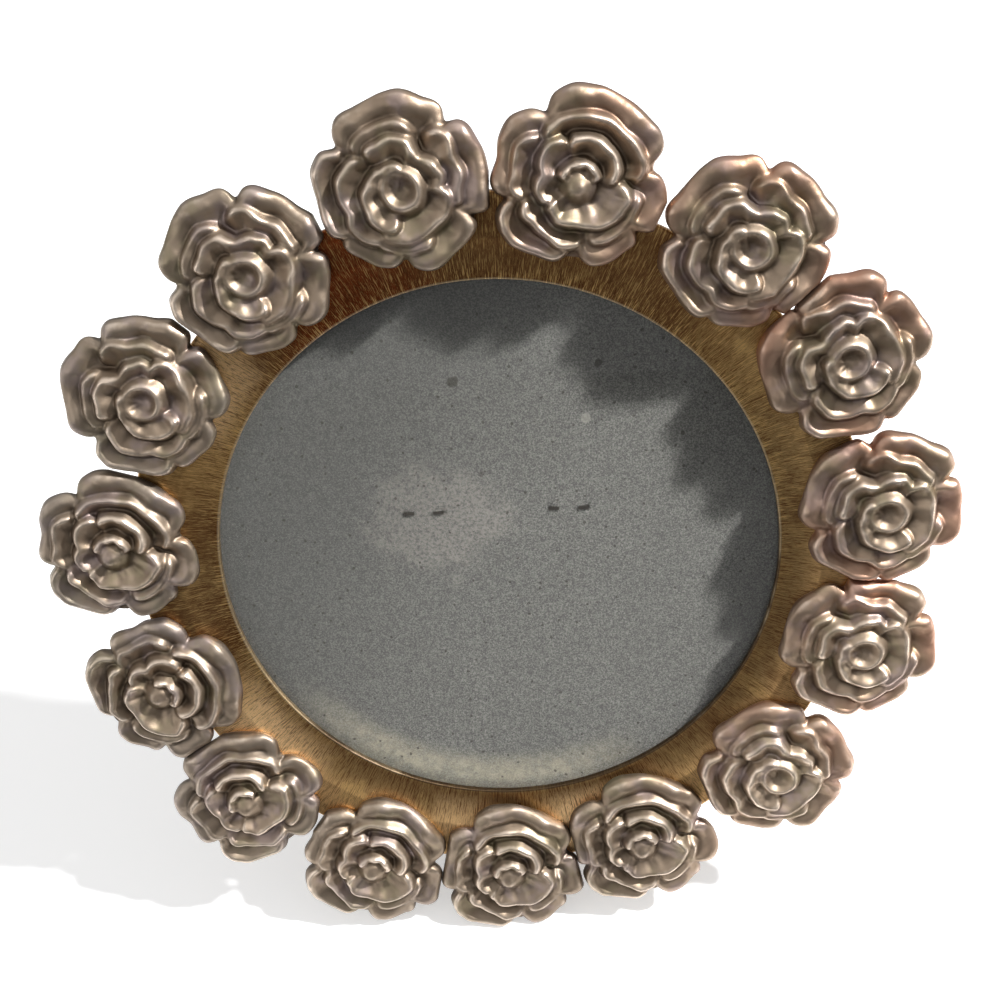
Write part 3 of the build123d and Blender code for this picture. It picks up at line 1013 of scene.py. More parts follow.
@dataclass
class PegHeads:
    """The roses' pegs, each drawn through the flange and hammered over behind it, in mm."""

    finish: Material
    headings: list
    circle: float = 53.9
    spacing: float = 8.0
    radius: float = 1.1
    front: float = 1.9
    back: float = -0.2
    sides: int = 24
    head_rings: int = 10
    head_share: float = 1.22
    head_drop: float = 0.12
    head_height: float = 0.26
    tilt: float = 0.05
    smallest: tuple = (0.92, 0.92, 0.9)
    seed: int = 4

    def places(self) -> list[tuple[float, float, float]]:
        """Where the pegs go through the flange.

        Returns:
            The middle of each peg in the ring's plane.
        """
        places = []
        for heading in self.headings:
            out = Matrix.Rotation(math.radians(heading), 3, "Z")
            for side in (-self.spacing / 2, self.spacing / 2):
                places.append(tuple(out @ Vector((self.circle, side, 0))))
        return places

    def peg(self, tree: Pattern) -> Socket:
        """Joins a plain shank and a flattened head.

        Args:
            tree: The tree that the peg is drawn in.

        Returns:
            One peg.
        """
        given = tree.given
        length = tree.minus(given["Front"], given["Back"])
        links = {"Vertices": self.sides, "Radius": given["Radius"], "Depth": length}
        shank = tree.shape("GeometryNodeMeshCylinder", links, fill_type="NGON")
        lift = tree.gather(z=tree.times(tree.plus(given["Front"], given["Back"]), 0.5))
        shank = tree.shape("GeometryNodeTransform", {"Geometry": shank, "Translation": lift})
        wide = tree.times(given["Radius"], self.head_share)
        links = {"Segments": self.sides, "Rings": self.head_rings, "Radius": wide}
        head = tree.shape("GeometryNodeMeshUVSphere", links)
        links = {
            "Geometry": head, "Translation": (0, 0, self.head_drop),
            "Scale": (1, 1, self.head_height),
        }
        head = tree.shape("GeometryNodeTransform", links)
        both = tree.add("GeometryNodeJoinGeometry")
        for part in (shank, head):
            tree.put(both, 0, part)
        return both.outputs[0]

    def build(self) -> None:
        """Sets a hammered peg at each place, turned and sized at random from the seed."""
        tree = Pattern("Peg heads", {
            "Radius": (FLOAT, self.radius), "Front": (FLOAT, self.front),
            "Back": (FLOAT, self.back), "Seed": (WHOLE, self.seed),
            "Material": (SURFACE, self.finish),
        })
        seed = tree.given["Seed"]
        draws = (
            {0: (-self.tilt, -self.tilt, 0), 1: (self.tilt, self.tilt, 6.28), "Seed": seed},
            {0: self.smallest, 1: (1.0, 1.0, 1.0), "Seed": tree.plus(seed, 1)},
        )
        kind = "FunctionNodeRandomValue"
        turn, size = (tree.shape(kind, links, data_type="FLOAT_VECTOR") for links in draws)
        points = tree.shape("GeometryNodeMeshToPoints", {0: tree.given["Geometry"]})
        links = {"Points": points, "Instance": self.peg(tree), "Rotation": turn, "Scale": size}
        tree.close(tree.shape("GeometryNodeInstanceOnPoints", links))
        hang(tree.run("rose_pegs", self.places(), []), "rose_metal")


@dataclass(frozen=True)
class Petal:
    """One petal of a casting: its lip, seen from the front, and how it is cupped.

    The lip is given as pairs of a direction in degrees and a distance from the bud in mm.
    The petal's crest lies inside its lip by the brim, over which it droops.
    """

    lip: tuple
    height: float
    scoop: float
    hollow: float
    roll: float
    brim: float = 0.4
    droop: float = 0.16
    tuck: float = 0.9
    wave: float = 0.16
    notch: float = 0.0
    ripple: float = 0.07
    blur_deg: float = 10.0
    margin_deg: float = 40.0
    notch_deg: float = 7.0
    side_fall: float = 2.8

    def edge(self, off: np.ndarray, half: float) -> tuple[np.ndarray, np.ndarray]:
        """The lip's line, blurred, rippled and notched at its ends.

        Args:
            off: Directions from the petal's middle, in degrees.
            half: Half the width of the petal, in degrees.

        Returns:
            The lip's distance from the bud in each direction, in mm, and its slope.
        """
        lip = np.array(self.lip, float)
        fine = np.linspace(-half - self.margin_deg, half + self.margin_deg, 721)
        line = np.interp(fine, lip[:, 0] - (lip[0, 0] + lip[-1, 0]) / 2, lip[:, 1])
        step = fine[1] - fine[0]
        window = np.hanning(int(self.blur_deg / step) | 1)
        line = np.convolve(np.pad(line, len(window) // 2, "edge"), window / window.sum(), "valid")
        waves = np.sin(np.radians(fine * 9 + 60 * self.height))
        waves = waves + 0.5 * np.sin(np.radians(fine * 17 + 140 * self.height))
        line = line + self.ripple * waves * np.clip(lip[:, 1].mean() / 9, 0.4, 1)
        line = line + self.notch * (0.32 - np.exp(-(((half - np.abs(fine)) / self.notch_deg) ** 2)))
        return np.interp(off, fine, line), np.interp(off, fine, np.gradient(line, np.radians(step)))

    def relief(self, theta: np.ndarray, radius: np.ndarray) -> np.ndarray:
        """The petal's height over a polar grid.

        Args:
            theta: The grid's directions in degrees, one row for each.
            radius: The grid's distances from the bud, in mm.

        Returns:
            The petal's height at each point of the grid, in mm, low where it doesn't reach.
        """
        first, last = self.lip[0][0], self.lip[-1][0]
        half = (last - first) / 2
        off = (theta - (first + last) / 2 + 180) % 360 - 180
        reach, slope = self.edge(off, half)
        past = np.clip((np.abs(off) - half) / 6 + 0.6, 0, 8)
        reach = reach - 0.35 * past ** 1.5
        sway = self.wave * np.sin(np.radians(off * 8.5 + 90 * self.height))
        top = self.height + sway - self.tuck * past ** 2 * 0.5
        lean = 1 / np.sqrt(1 + (slope / np.maximum(reach, 0.5)) ** 2)
        gap = (radius - reach[:, None]) * lean[:, None]
        crest = gap + self.brim
        rounding = np.sqrt(crest ** 2 + self.roll ** 2) - self.roll
        inside = self.scoop * (1 - np.exp(-rounding / self.hollow))
        fall = np.sqrt(np.maximum(gap, 0) ** 2 + 0.3 ** 2) - 0.3
        outside = self.droop * np.clip(crest / self.brim, 0, 1.8) ** 2 + self.side_fall * fall
        return top[:, None] - np.where(crest < 0, inside, outside)


@dataclass(frozen=True)
class LevelMap:
    """Heights over a square, in mm, which can be softened and read at any place."""

    level: np.ndarray
    reach: float = 14.0

    def soften(self, passes: int) -> "LevelMap":
        """Mixes each height with its neighbours.

        Args:
            passes: How many times they are mixed.

        Returns:
            The softened heights.
        """
        level = self.level
        for _ in range(passes):
            padded = np.pad(level, 1, "edge")
            beside = padded[1:-1, :-2] + padded[1:-1, 2:]
            level = (padded[:-2, 1:-1] + padded[2:, 1:-1] + beside + level) / 5
        return LevelMap(level, self.reach)

    def at(self, x: np.ndarray, y: np.ndarray) -> np.ndarray:
        """The heights at any places, mixed from the four that are nearest.

        Args:
            x: How far each place is to the right of the middle, in mm.
            y: How far it is above the middle.

        Returns:
            The height at each place.
        """
        last = len(self.level) - 1
        u, v = (np.clip((place / self.reach + 1) / 2 * last, 0, last - 0.001) for place in (x, y))
        i, j = u.astype(int), v.astype(int)
        right, up = u - i, v - j
        low, high = (
            self.level[row, i] * (1 - right) + self.level[row, i + 1] * right for row in (j, j + 1)
        )
        return low * (1 - up) + high * up


@dataclass(frozen=True)
class CastingShape:
    """The relief of one rose casting, in mm: its bud, and its petals from the bud outwards."""

    petals: tuple
    dimpled: bool
    bud_radius: float = 2.9
    height: float = 4.85
    ground: float = 1.25
    ground_reach: float = 10.2
    crease: float = 0.14
    turns: int = 300
    rows: int = 92
    side: int = 281
    cast_passes: int = 10
    fold_passes: int = 76

    def dimple(self, spin: np.ndarray, radius: np.ndarray) -> np.ndarray:
        """A bud like a rolled rim round a dimple.

        Args:
            spin: Directions from the bud's middle, in radians.
            radius: Distances from it.

        Returns:
            The bud's height at each place.
        """
        crest = 0.86 + 0.07 * np.cos(spin - 0.9) + 0.03 * np.cos(2 * spin)
        gap = radius - self.bud_radius * crest
        rounding = np.sqrt(gap ** 2 + 0.6 ** 2) - 0.6
        fall = np.where(gap < 0, 1.7 * (1 - np.exp(-rounding / 0.7)), 1.9 * rounding)
        middle = np.clip(1.8 - radius, 0, 1) * np.clip(radius, 0, 1)
        swirl = 0.12 * np.cos(spin + 1.9 * radius) * middle
        tilt = 0.22 * radius / self.bud_radius * np.cos(spin - 1.0)
        return self.height - 0.26 - fall + tilt + swirl

    def ball(self, spin: np.ndarray, radius: np.ndarray) -> np.ndarray:
        """A bud like a ball with a faint whorl.

        Args:
            spin: Directions from the bud's middle, in radians.
            radius: Distances from it.

        Returns:
            The bud's height at each place.
        """
        middle = np.clip(radius, 0, 1) * np.clip(2.6 - radius, 0, 1)
        whorl = 0.16 * np.cos(spin + 2.6 * radius) * middle
        return self.height - 0.31 * radius ** 2 + whorl

    def relief(self, theta: np.ndarray, radius: np.ndarray) -> np.ndarray:
        """The casting's height over a polar grid, with soft creases between petals.

        Args:
            theta: The grid's directions in degrees, one row for each.
            radius: The grid's distances from the bud.

        Returns:
            The casting's height at each point of the grid.
        """
        spin = np.radians(theta)[:, None]
        bud = self.dimple(spin, radius) if self.dimpled else self.ball(spin, radius)
        ground = self.ground - 2.6 * np.maximum(radius - self.ground_reach, 0)
        stack = np.stack([ground, bud] + [petal.relief(theta, radius) for petal in self.petals])
        peak = stack.max(axis=0)
        blend = np.log(np.exp((stack - peak) / self.crease).sum(axis=0)) - 0.5
        x, y = radius * np.cos(spin), radius * np.sin(spin)
        hand = np.sin(1.7 * x + 1.3 * np.sin(1.1 * y)) + np.sin(2.1 * y + 1.6 * np.sin(0.9 * x))
        small = np.sin(3.9 * x + 2 * np.sin(2.7 * y)) + np.sin(4.3 * y + 2 * np.sin(3.1 * x))
        uneven = (0.045 * hand + 0.01 * small) * np.clip(radius / 2, 0, 1)
        return peak + self.crease * blend + uneven

    def maps(self) -> tuple[LevelMap, LevelMap]:
        """Works out the casting's heights over a square.

        Returns:
            The heights as cast, and the same heights blurred, to find folds and lips by.
        """
        line = np.linspace(-LevelMap.reach, LevelMap.reach, self.side)
        x, y = np.meshgrid(line, line)
        turned = np.degrees(np.arctan2(y, x)).reshape(-1)
        level = self.relief(turned, np.hypot(x, y).reshape(-1, 1)).reshape(self.side, self.side)
        around = LevelMap(np.maximum(level, 0.8)).soften(self.fold_passes)
        return LevelMap(level).soften(self.cast_passes), around

    def outline(self, theta: np.ndarray, rim: float) -> np.ndarray:
        """How far from the bud the casting falls to its rim's height.

        Args:
            theta: Directions in degrees.
            rim: The rim's height.

        Returns:
            The distance in each direction.
        """
        trial = np.linspace(8.5, 14.5, 301)
        inside = self.relief(theta, np.broadcast_to(trial, (len(theta), len(trial)))) > rim
        return trial[len(trial) - 1 - inside[:, ::-1].argmax(axis=1)]


CUPPED = CastingShape(
    dimpled=True,
    petals=(
        Petal(
            (
                (132, 3.3), (155, 3.6), (180, 3.7), (210, 4.3), (240, 5.2), (270, 5.8),
                (294, 6.2), (314, 5.9),
            ),
            height=4.5, scoop=1.28, hollow=1.08, roll=0.75,
        ),
        Petal(
            ((-60, 7.4), (-36, 7.6), (-9, 7.3), (8, 7.1), (21, 7.5), (41, 7.5), (52, 6.1)),
            height=4.1, scoop=1.92, hollow=1.49, roll=0.75,
        ),
        Petal(
            (
                (52, 5.9), (66, 6.4), (84, 6.1), (96, 5.6), (107, 5.1), (118, 5.8), (128, 6.7),
                (148, 7.2), (166, 6.8), (182, 7.0),
            ),
            height=4.2, scoop=1.92, hollow=1.49, roll=0.75,
        ),
        Petal(
            (
                (194, 7.3), (206, 8.1), (222, 8.8), (241, 8.6), (254, 8.2), (266, 9.0),
                (281, 9.1), (298, 8.4),
            ),
            height=3.6, scoop=1.76, hollow=1.35, roll=0.75,
        ),
        Petal(
            ((36, 8.9), (49, 8.6), (62, 9.1), (72, 8.8), (80, 8.9), (94, 9.9), (106, 9.6)),
            height=3.6, scoop=1.68, hollow=1.35, roll=0.75,
        ),
        Petal(
            ((-64, 8.6), (-45, 8.9), (-30, 9.3), (-12, 9.0)),
            height=3.2, scoop=1.44, hollow=1.49, roll=0.9,
        ),
        Petal(
            ((128, 8.6), (142, 9.2), (156, 9.0), (172, 9.3), (190, 8.6)),
            height=3.2, scoop=1.44, hollow=1.49, roll=0.9,
        ),
        Petal(
            (
                (104, 11.3), (110, 12.2), (124, 12.0), (140, 12.4), (156, 12.1), (170, 11.8),
                (182, 12.0), (192, 11.5), (197, 10.6),
            ),
            height=2.5, scoop=1.23, hollow=1.8, roll=0.9, brim=1.3, droop=0.5, notch=0.9, wave=0.4,
        ),
        Petal(
            (
                (27, 10.6), (33, 12.3), (44, 12.5), (58, 11.8), (72, 12.1), (86, 11.9), (97, 11.9),
                (102, 10.9),
            ),
            height=2.7, scoop=1.33, hollow=1.6, roll=0.8, brim=1.1, droop=0.5, notch=0.9, wave=0.36,
        ),
        Petal(
            ((-38, 10.6), (-33, 11.6), (-18, 11.9), (-4, 11.4), (10, 11.6), (22, 11.4), (29, 10.4)),
            height=2.4, scoop=1.23, hollow=1.6, roll=0.8, brim=1.1, droop=0.45,
            notch=0.9, wave=0.36,
        ),
        Petal(
            ((-96, 10.9), (-86, 11.4), (-72, 11.1), (-58, 11.5), (-46, 11.1), (-40, 10.2)),
            height=2.3, scoop=1.14, hollow=1.5, roll=0.8, brim=1.0, droop=0.45,
            notch=0.8, wave=0.34,
        ),
        Petal(
            (
                (200, 10.9), (206, 11.8), (220, 11.9), (236, 11.3), (250, 11.6), (262, 11.5),
                (272, 10.8),
            ),
            height=2.8, scoop=1.71, hollow=1.3, roll=0.5, brim=0.5, droop=0.2, notch=0.8, wave=0.2,
        ),
    ),
)

BALL = CastingShape(
    dimpled=False,
    bud_radius=2.3,
    petals=(
        Petal(
            ((15, 3.0), (38, 3.2), (72, 3.4), (104, 3.2), (155, 2.8)),
            height=4.6, scoop=1.5, hollow=0.6, roll=0.45, brim=0.35,
        ),
        Petal(
            ((2, 5.2), (15, 5.8), (32, 6.4), (52, 6.7), (75, 6.9), (97, 6.5)),
            height=4.3, scoop=2.39, hollow=1.16, roll=0.6,
        ),
        Petal(
            (
                (106, 6.7), (118, 7.2), (130, 7.0), (141, 6.6), (160, 5.5), (172, 5.8),
                (184, 6.0), (204, 5.4),
            ),
            height=4.0, scoop=1.87, hollow=1.05, roll=0.6,
        ),
        Petal(
            (
                (210, 5.0), (224, 5.2), (238, 5.8), (262, 5.4), (278, 5.7), (291, 6.3), (315, 7.1),
                (342, 7.6), (358, 6.4),
            ),
            height=4.2, scoop=1.8, hollow=1.2, roll=0.6,
        ),
        Petal(
            (
                (6, 9.2), (16, 9.7), (29, 9.8), (46, 9.4), (63, 9.9), (86, 9.6), (106, 9.4),
                (119, 8.8),
            ),
            height=3.6, scoop=2.39, hollow=1.16, roll=0.6,
        ),
        Petal(
            ((130, 9.5), (145, 10.3), (156, 9.7), (166, 9.5), (178, 9.8), (190, 8.6)),
            height=3.2, scoop=1.87, hollow=1.05, roll=0.72,
        ),
        Petal(
            ((196, 8.5), (204, 8.8), (216, 8.2), (232, 8.4), (250, 8.9), (268, 8.5)),
            height=3.6, scoop=2.29, hollow=1.05, roll=0.6,
        ),
        Petal(
            ((-78, 8.6), (-58, 8.9), (-36, 9.3), (-14, 9.0)),
            height=3.1, scoop=1.77, hollow=1.16, roll=0.72,
        ),
        Petal(
            (
                (13, 11.2), (19, 12.3), (30, 12.8), (46, 12.2), (60, 12.5), (74, 12.9), (90, 12.7),
                (104, 12.2), (112, 11.2),
            ),
            height=2.6, scoop=1.33, hollow=1.8, roll=0.9, brim=1.3, droop=0.5, notch=0.9, wave=0.36,
        ),
        Petal(
            (
                (112, 11.0), (120, 11.8), (134, 12.5), (148, 12.2), (160, 11.4), (174, 11.7),
                (184, 11.4), (188, 10.4),
            ),
            height=2.4, scoop=1.23, hollow=1.6, roll=0.8, brim=1.1, droop=0.5, notch=0.9, wave=0.36,
        ),
        Petal(
            (
                (189, 10.6), (196, 11.6), (208, 12.0), (219, 12.1), (234, 11.1), (248, 10.6),
                (260, 9.9),
            ),
            height=2.9, scoop=1.8, hollow=1.2, roll=0.5, brim=0.5, droop=0.2, notch=0.7, wave=0.2,
        ),
        Petal(
            ((-94, 9.8), (-84, 11.0), (-70, 11.5), (-58, 11.3), (-48, 11.6), (-41, 10.8)),
            height=2.3, scoop=1.14, hollow=1.5, roll=0.8, brim=1.0, droop=0.45,
            notch=0.8, wave=0.34,
        ),
        Petal(
            ((-41, 11.0), (-34, 12.3), (-22, 12.6), (-8, 12.0), (2, 11.4), (8, 10.2)),
            height=2.4, scoop=1.23, hollow=1.7, roll=0.8, brim=1.2, droop=0.5, notch=0.9, wave=0.36,
        ),
    ),
)

SHAPES = {Casting.CUPPED: CUPPED, Casting.BALL: BALL}


@dataclass(frozen=True)
class Setting:
    """How one rose is set: its casting, its turn, how far it strays round and how far out.

    The turn and the stray are in degrees, and the share is of the circle of the buds.
    """

    casting: Casting
    turn: float
    stray: float
    share: float


@dataclass
class RoseWreath:
    """The fifteen roses round the ring, set by hand and so not quite evenly spaced, in mm.

    Behind its edge each rose turns in by steps, each an inset and a level over the flange.
    A side of the ring is a direction in its plane, the distance at which it starts and the
    width over which it takes full hold.
    """

    finish: Material
    circle: float = 59.9
    seat: float = 1.9
    rim: float = 1.15
    gap: float = 0.12
    unbounded: float = 99.0
    least_facing: float = 0.05
    back_steps: tuple = (
        (-0.06, 0.8), (0.1, 0.36), (0.5, 0.06), (0.9, 0.0), (1.5, 0.03), (1.9, 0.3), (2.3, 0.42),
    )
    hollow_share: float = 0.45
    hollow_level: float = 0.45
    relief_gain: float = 1.05
    back_relief: float = 0.42
    table_clearance: float = 0.00002
    copper_side: tuple = (1.0, 0.3, 5.0, 55.0)
    steel_side: tuple = (-1.0, -0.2, 5.0, 60.0)
    # Painted light on the roses to the lower right, and painted shade on those at the bottom.
    painted_light_side: tuple = (0.87, -0.5, 45.0, 10.0)
    painted_shade_side: tuple = (0.2, -0.98, 49.0, 8.0)
    settings: tuple = (
        Setting(Casting.BALL, 12, -0.7, 0.983), Setting(Casting.BALL, 17, -1.5, 0.966),
        Setting(Casting.CUPPED, 320, 0.2, 0.994), Setting(Casting.CUPPED, 3, 1.6, 0.995),
        Setting(Casting.CUPPED, 0, 0.6, 0.998), Setting(Casting.CUPPED, 33, 0.6, 1.022),
        Setting(Casting.CUPPED, 332, -2.1, 1.024), Setting(Casting.BALL, 0, -1.7, 0.997),
        Setting(Casting.CUPPED, 309, -1.7, 0.997), Setting(Casting.CUPPED, 349, -0.5, 0.973),
        Setting(Casting.CUPPED, 17, 0.2, 0.988), Setting(Casting.BALL, 4, 1.5, 1.002),
        Setting(Casting.BALL, 306, 2.1, 1.0), Setting(Casting.BALL, 44, 1.7, 1.026),
        Setting(Casting.BALL, 350, 0.7, 1.029),
    )

    def __post_init__(self) -> None:
        """Works out the heights of both castings once."""
        self.maps = {casting: shape.maps() for casting, shape in SHAPES.items()}

    def heading(self, index: int) -> float:
        """The direction of one rose from the ring's centre, in degrees."""
        count = len(self.settings)
        return -90 + 360 / count * index + self.settings[index % count].stray

    def headings(self) -> list[float]:
        """The directions of all the roses."""
        return [self.heading(index) for index in range(len(self.settings))]

    def bud(self, index: int) -> np.ndarray:
        """The place of one rose's bud in the ring's plane."""
        turn = math.radians(self.heading(index))
        away = self.circle * self.settings[index].share
        return away * np.array([math.cos(turn), math.sin(turn)])

    def room(self, index: int, spin: np.ndarray) -> np.ndarray:
        """How far a rose may reach before it meets its neighbours' halves of the gap.

        Args:
            index: The rose's number.
            spin: Directions from its bud, in radians, in the plane of the ring.

        Returns:
            The reach in each direction.
        """
        reach = np.full(spin.shape, self.unbounded)
        for side in (1, -1):
            border = math.radians((self.heading(index) + self.heading(index + side)) / 2)
            normal = np.array([-math.sin(border), math.cos(border)]) * side
            spare = -(self.bud(index) @ normal) - self.gap / 2
            facing = np.cos(spin) * normal[0] + np.sin(spin) * normal[1]
            limit = spare / np.maximum(facing, self.least_facing)
            reach = np.where(facing > self.least_facing, np.minimum(reach, limit), reach)
        return reach

    def levels(
        self, casting: Casting, theta: np.ndarray, radius: np.ndarray, rows: np.ndarray
    ) -> tuple[np.ndarray, np.ndarray]:
        """Reads a casting's heights over a polar grid.

        Args:
            casting: The casting.
            theta: The grid's directions in degrees, one row for each.
            radius: The grid's distances from the bud.
            rows: The same distances as shares of the casting's reach.

        Returns:
            The heights, crisp at the casting's edge, and how much each place stands out from
            what is round it, from 0 in a fold to 1 on a lip.
        """
        spin = np.radians(theta)[:, None]
        x, y = radius * np.cos(spin), radius * np.sin(spin)
        cast, around = self.maps[casting]
        height = cast.at(x, y)
        relief = np.clip(0.5 + (height - around.at(x, y)) * self.relief_gain, 0, 1)
        crisp = SHAPES[casting].relief(theta, radius)
        return height + (crisp - height) * np.clip(rows * 12 - 10.4, 0, 1), relief

    def rose(self, index: int) -> Piece:
        """Builds one rose in the place of its CAD casting.

        Args:
            index: The rose's number.

        Returns:
            The rose.
        """
        setting = self.settings[index]
        shape = SHAPES[setting.casting]
        theta = np.arange(shape.turns) * 360 / shape.turns
        spin = np.radians(theta + setting.turn)
        window = np.hanning(7) / np.hanning(7).sum()
        ring = np.convolve(np.pad(shape.outline(theta, self.rim), 3, "wrap"), window, "valid")
        squeeze = np.minimum(1, self.room(index, spin) / ring)[:, None]
        rows = np.linspace(0, 1, shape.rows + 1)[1:]
        radius = ring[:, None] * rows
        height, relief = self.levels(setting.casting, theta, radius, rows)
        flat = radius * (1 - (1 - squeeze) * rows ** 2)
        edge = flat[:, -1:]
        inset, level = np.array(self.back_steps).T
        below = np.tile(np.append(level, self.hollow_level), (shape.turns, 1))
        behind = np.full((shape.turns, len(inset)), self.back_relief)
        flat = np.hstack([flat, edge - inset, edge * self.hollow_share])
        height = np.hstack([height, below]) + self.seat
        relief = np.hstack([relief, relief[:, -1:] * 0.7, behind])
        bud = self.bud(index)
        x, y = bud[0] + flat * np.cos(spin)[:, None], bud[1] + flat * np.sin(spin)[:, None]
        top = float(self.maps[setting.casting][0].at(np.zeros(1), np.zeros(1))[0])
        middles = [[*bud, rise + self.seat] for rise in (top, self.hollow_level)]
        points = np.vstack([np.stack([x, y, height], axis=-1).reshape(-1, 3), middles])
        faces = self.faces(shape.turns, flat.shape[1])
        piece = make_piece(f"rose_casting_{index + 1:02d}", points, faces, self.finish)
        self.keep_above_table(piece)
        share = flat / edge
        share[:, shape.rows + 2:] = 0
        self.mark(piece, relief, x, y, share)
        return piece

    @staticmethod
    def faces(turns: int, rows: int) -> list:
        """The faces of a closed polar mesh whose last two points are its top and its back.

        Args:
            turns: How many directions the mesh has.
            rows: How many points lie along each direction.

        Returns:
            The faces, each a list of point numbers.
        """
        faces = []
        top, back = turns * rows, turns * rows + 1
        for turn in range(turns):
            here, after = turn * rows, (turn + 1) % turns * rows
            faces.append((top, here, after))
            for row in range(rows - 1):
                faces.append((here + row, here + row + 1, after + row + 1, after + row))
            faces.append((back, after + rows - 1, here + rows - 1))
        return faces

    def keep_above_table(self, piece: Piece) -> None:
        """Flattens the places that would reach under the table's top."""
        for vertex in piece.data.vertices:
            vertex.co.z = max(vertex.co.z, self.table_clearance)

    @staticmethod
    def hold(side: tuple, x: np.ndarray, y: np.ndarray) -> np.ndarray:
        """How much places belong to one side of the ring.

        Args:
            side: The side's direction as X and Y, its start and its width.
            x: How far each place is to the right of the ring's middle.
            y: How far it is above the middle.

        Returns:
            A share from 0 to 1 for each place.
        """
        right, up, start, width = side
        return np.clip((right * x + up * y - start) / width, 0, 1)

    def mark(
        self, piece: Piece, relief: np.ndarray, x: np.ndarray, y: np.ndarray, share: np.ndarray
    ) -> None:
        """Keeps the relief, the colour's drift and the painted light and painted shade on the mesh,
        for the rose metal.

        Args:
            piece: The rose.
            relief: How much each place stands out from what is round it, from 0 to 1.
            x: How far each place is to the right of the ring's middle.
            y: How far it is above the middle.
            share: How far out each place is in its rose, from 0 to 1.
        """
        outer = np.clip((share - 0.55) / 0.45, 0, 1)
        patch = 0.5 + 0.5 * np.sin(x * 0.37 + 1.2 * np.sin(y * 0.31))
        warm = self.hold(self.copper_side, x, y) * outer * (0.25 + 0.75 * patch) * 0.75
        cool = self.hold(self.steel_side, x, y) * outer * (0.3 + 0.7 * (1 - patch)) * 0.3
        # Painted light lifts the roses to the lower right, and painted shade dims those at the
        # bottom.
        level = 1 + 0.3 * self.hold(self.painted_light_side, x, y)
        level = level - 0.2 * self.hold(self.painted_shade_side, x, y)
        tint = np.stack([warm, cool, level], axis=-1).reshape(-1, 3)
        tint = np.vstack([tint, [(0, 0, 1)] * 2])
        relief = np.append(relief, (0.4, self.back_relief))
        for name, kind, key, values in (
            ("relief", "FLOAT", "value", relief), ("tint", "FLOAT_VECTOR", "vector", tint),
        ):
            layer = piece.data.attributes.new(name, kind, "POINT")
            layer.data.foreach_set(key, values.astype(np.float32).reshape(-1))

    def build(self) -> None:
        """Builds every rose and hangs it on the frame."""
        for index in range(len(self.settings)):
            hang(self.rose(index), "rose_metal", f"rose_{index + 1:02d}")


@dataclass(frozen=True)
class Lamp:
    """A round lamp that faces the ring's centre.

    Its heading is a direction in the ring's plane, its distance and size are in mm, and its
    strength is the light that reaches the ring, whatever the distance.
    """

    name: str
    heading: tuple
    distance: float
    size: float
    strength: float

    def build(self) -> None:
        """Places the lamp."""
        data = bpy.data.lights.new(self.name, "AREA")
        data.shape = "DISK"
        data.size = self.size * MM
        data.energy = self.strength * (math.pi * self.distance * MM) ** 2
        lamp = place_object(self.name, data)
        away = PLANE.direction(*self.heading)
        lamp.location = PLANE.centre + away * self.distance * MM
        lamp.rotation_mode = "QUATERNION"
        lamp.rotation_quaternion = away.to_track_quat("Z", "Y")


@dataclass(frozen=True)
class Panel:
    """A flat plain panel that lies level, from a reach in front of the frame to its back edge.

    It glows for the camera, metal and glass, the more the farther it is. Sizes are in metres.
    """

    name: str
    back: float
    level: float
    shade: float
    glow: float
    reach: float = 3.0
    near: float = 0.2
    far: float = 0.9
    far_gain: float = 2.5

    def build(self) -> Piece:
        """Lays the panel.

        Returns:
            The panel.
        """
        mesh = bpy.data.meshes.new(self.name)
        left, right = -self.reach, self.reach
        corners = ((left, -self.reach), (right, -self.reach), (right, self.back), (left, self.back))
        mesh.from_pydata([(x, y, self.level) for x, y in corners], [], [(0, 1, 2, 3)])
        mesh.materials.append(self.material())
        panel = place_object(self.name, mesh)
        return panel

    def material(self) -> Material:
        """Draws the panel's plain tone and its glow.

        Returns:
            The material.
        """
        material = bpy.data.materials.new(self.name)
        material.use_nodes = True
        sheet = Sheet(material.node_tree)
        path = sheet.add("ShaderNodeLightPath").outputs
        mirrored = sheet.most(path["Is Glossy Ray"], path["Is Transmission Ray"])
        seen = sheet.most(path["Is Camera Ray"], mirrored)
        away = sheet.vector("LENGTH", sheet.object_coords())
        gain = sheet.spread(away, self.near, self.far, 1.0, self.far_gain)
        shader = sheet.add("ShaderNodeBsdfPrincipled", {
            "Base Color": (self.shade, self.shade, self.shade, 1), "Roughness": 0.9,
            "Emission Color": (1, 1, 1, 1), "Emission Strength": sheet.times(seen, gain, self.glow),
        })
        sheet.add("ShaderNodeOutputMaterial", {0: shader.outputs[0]})
        return material


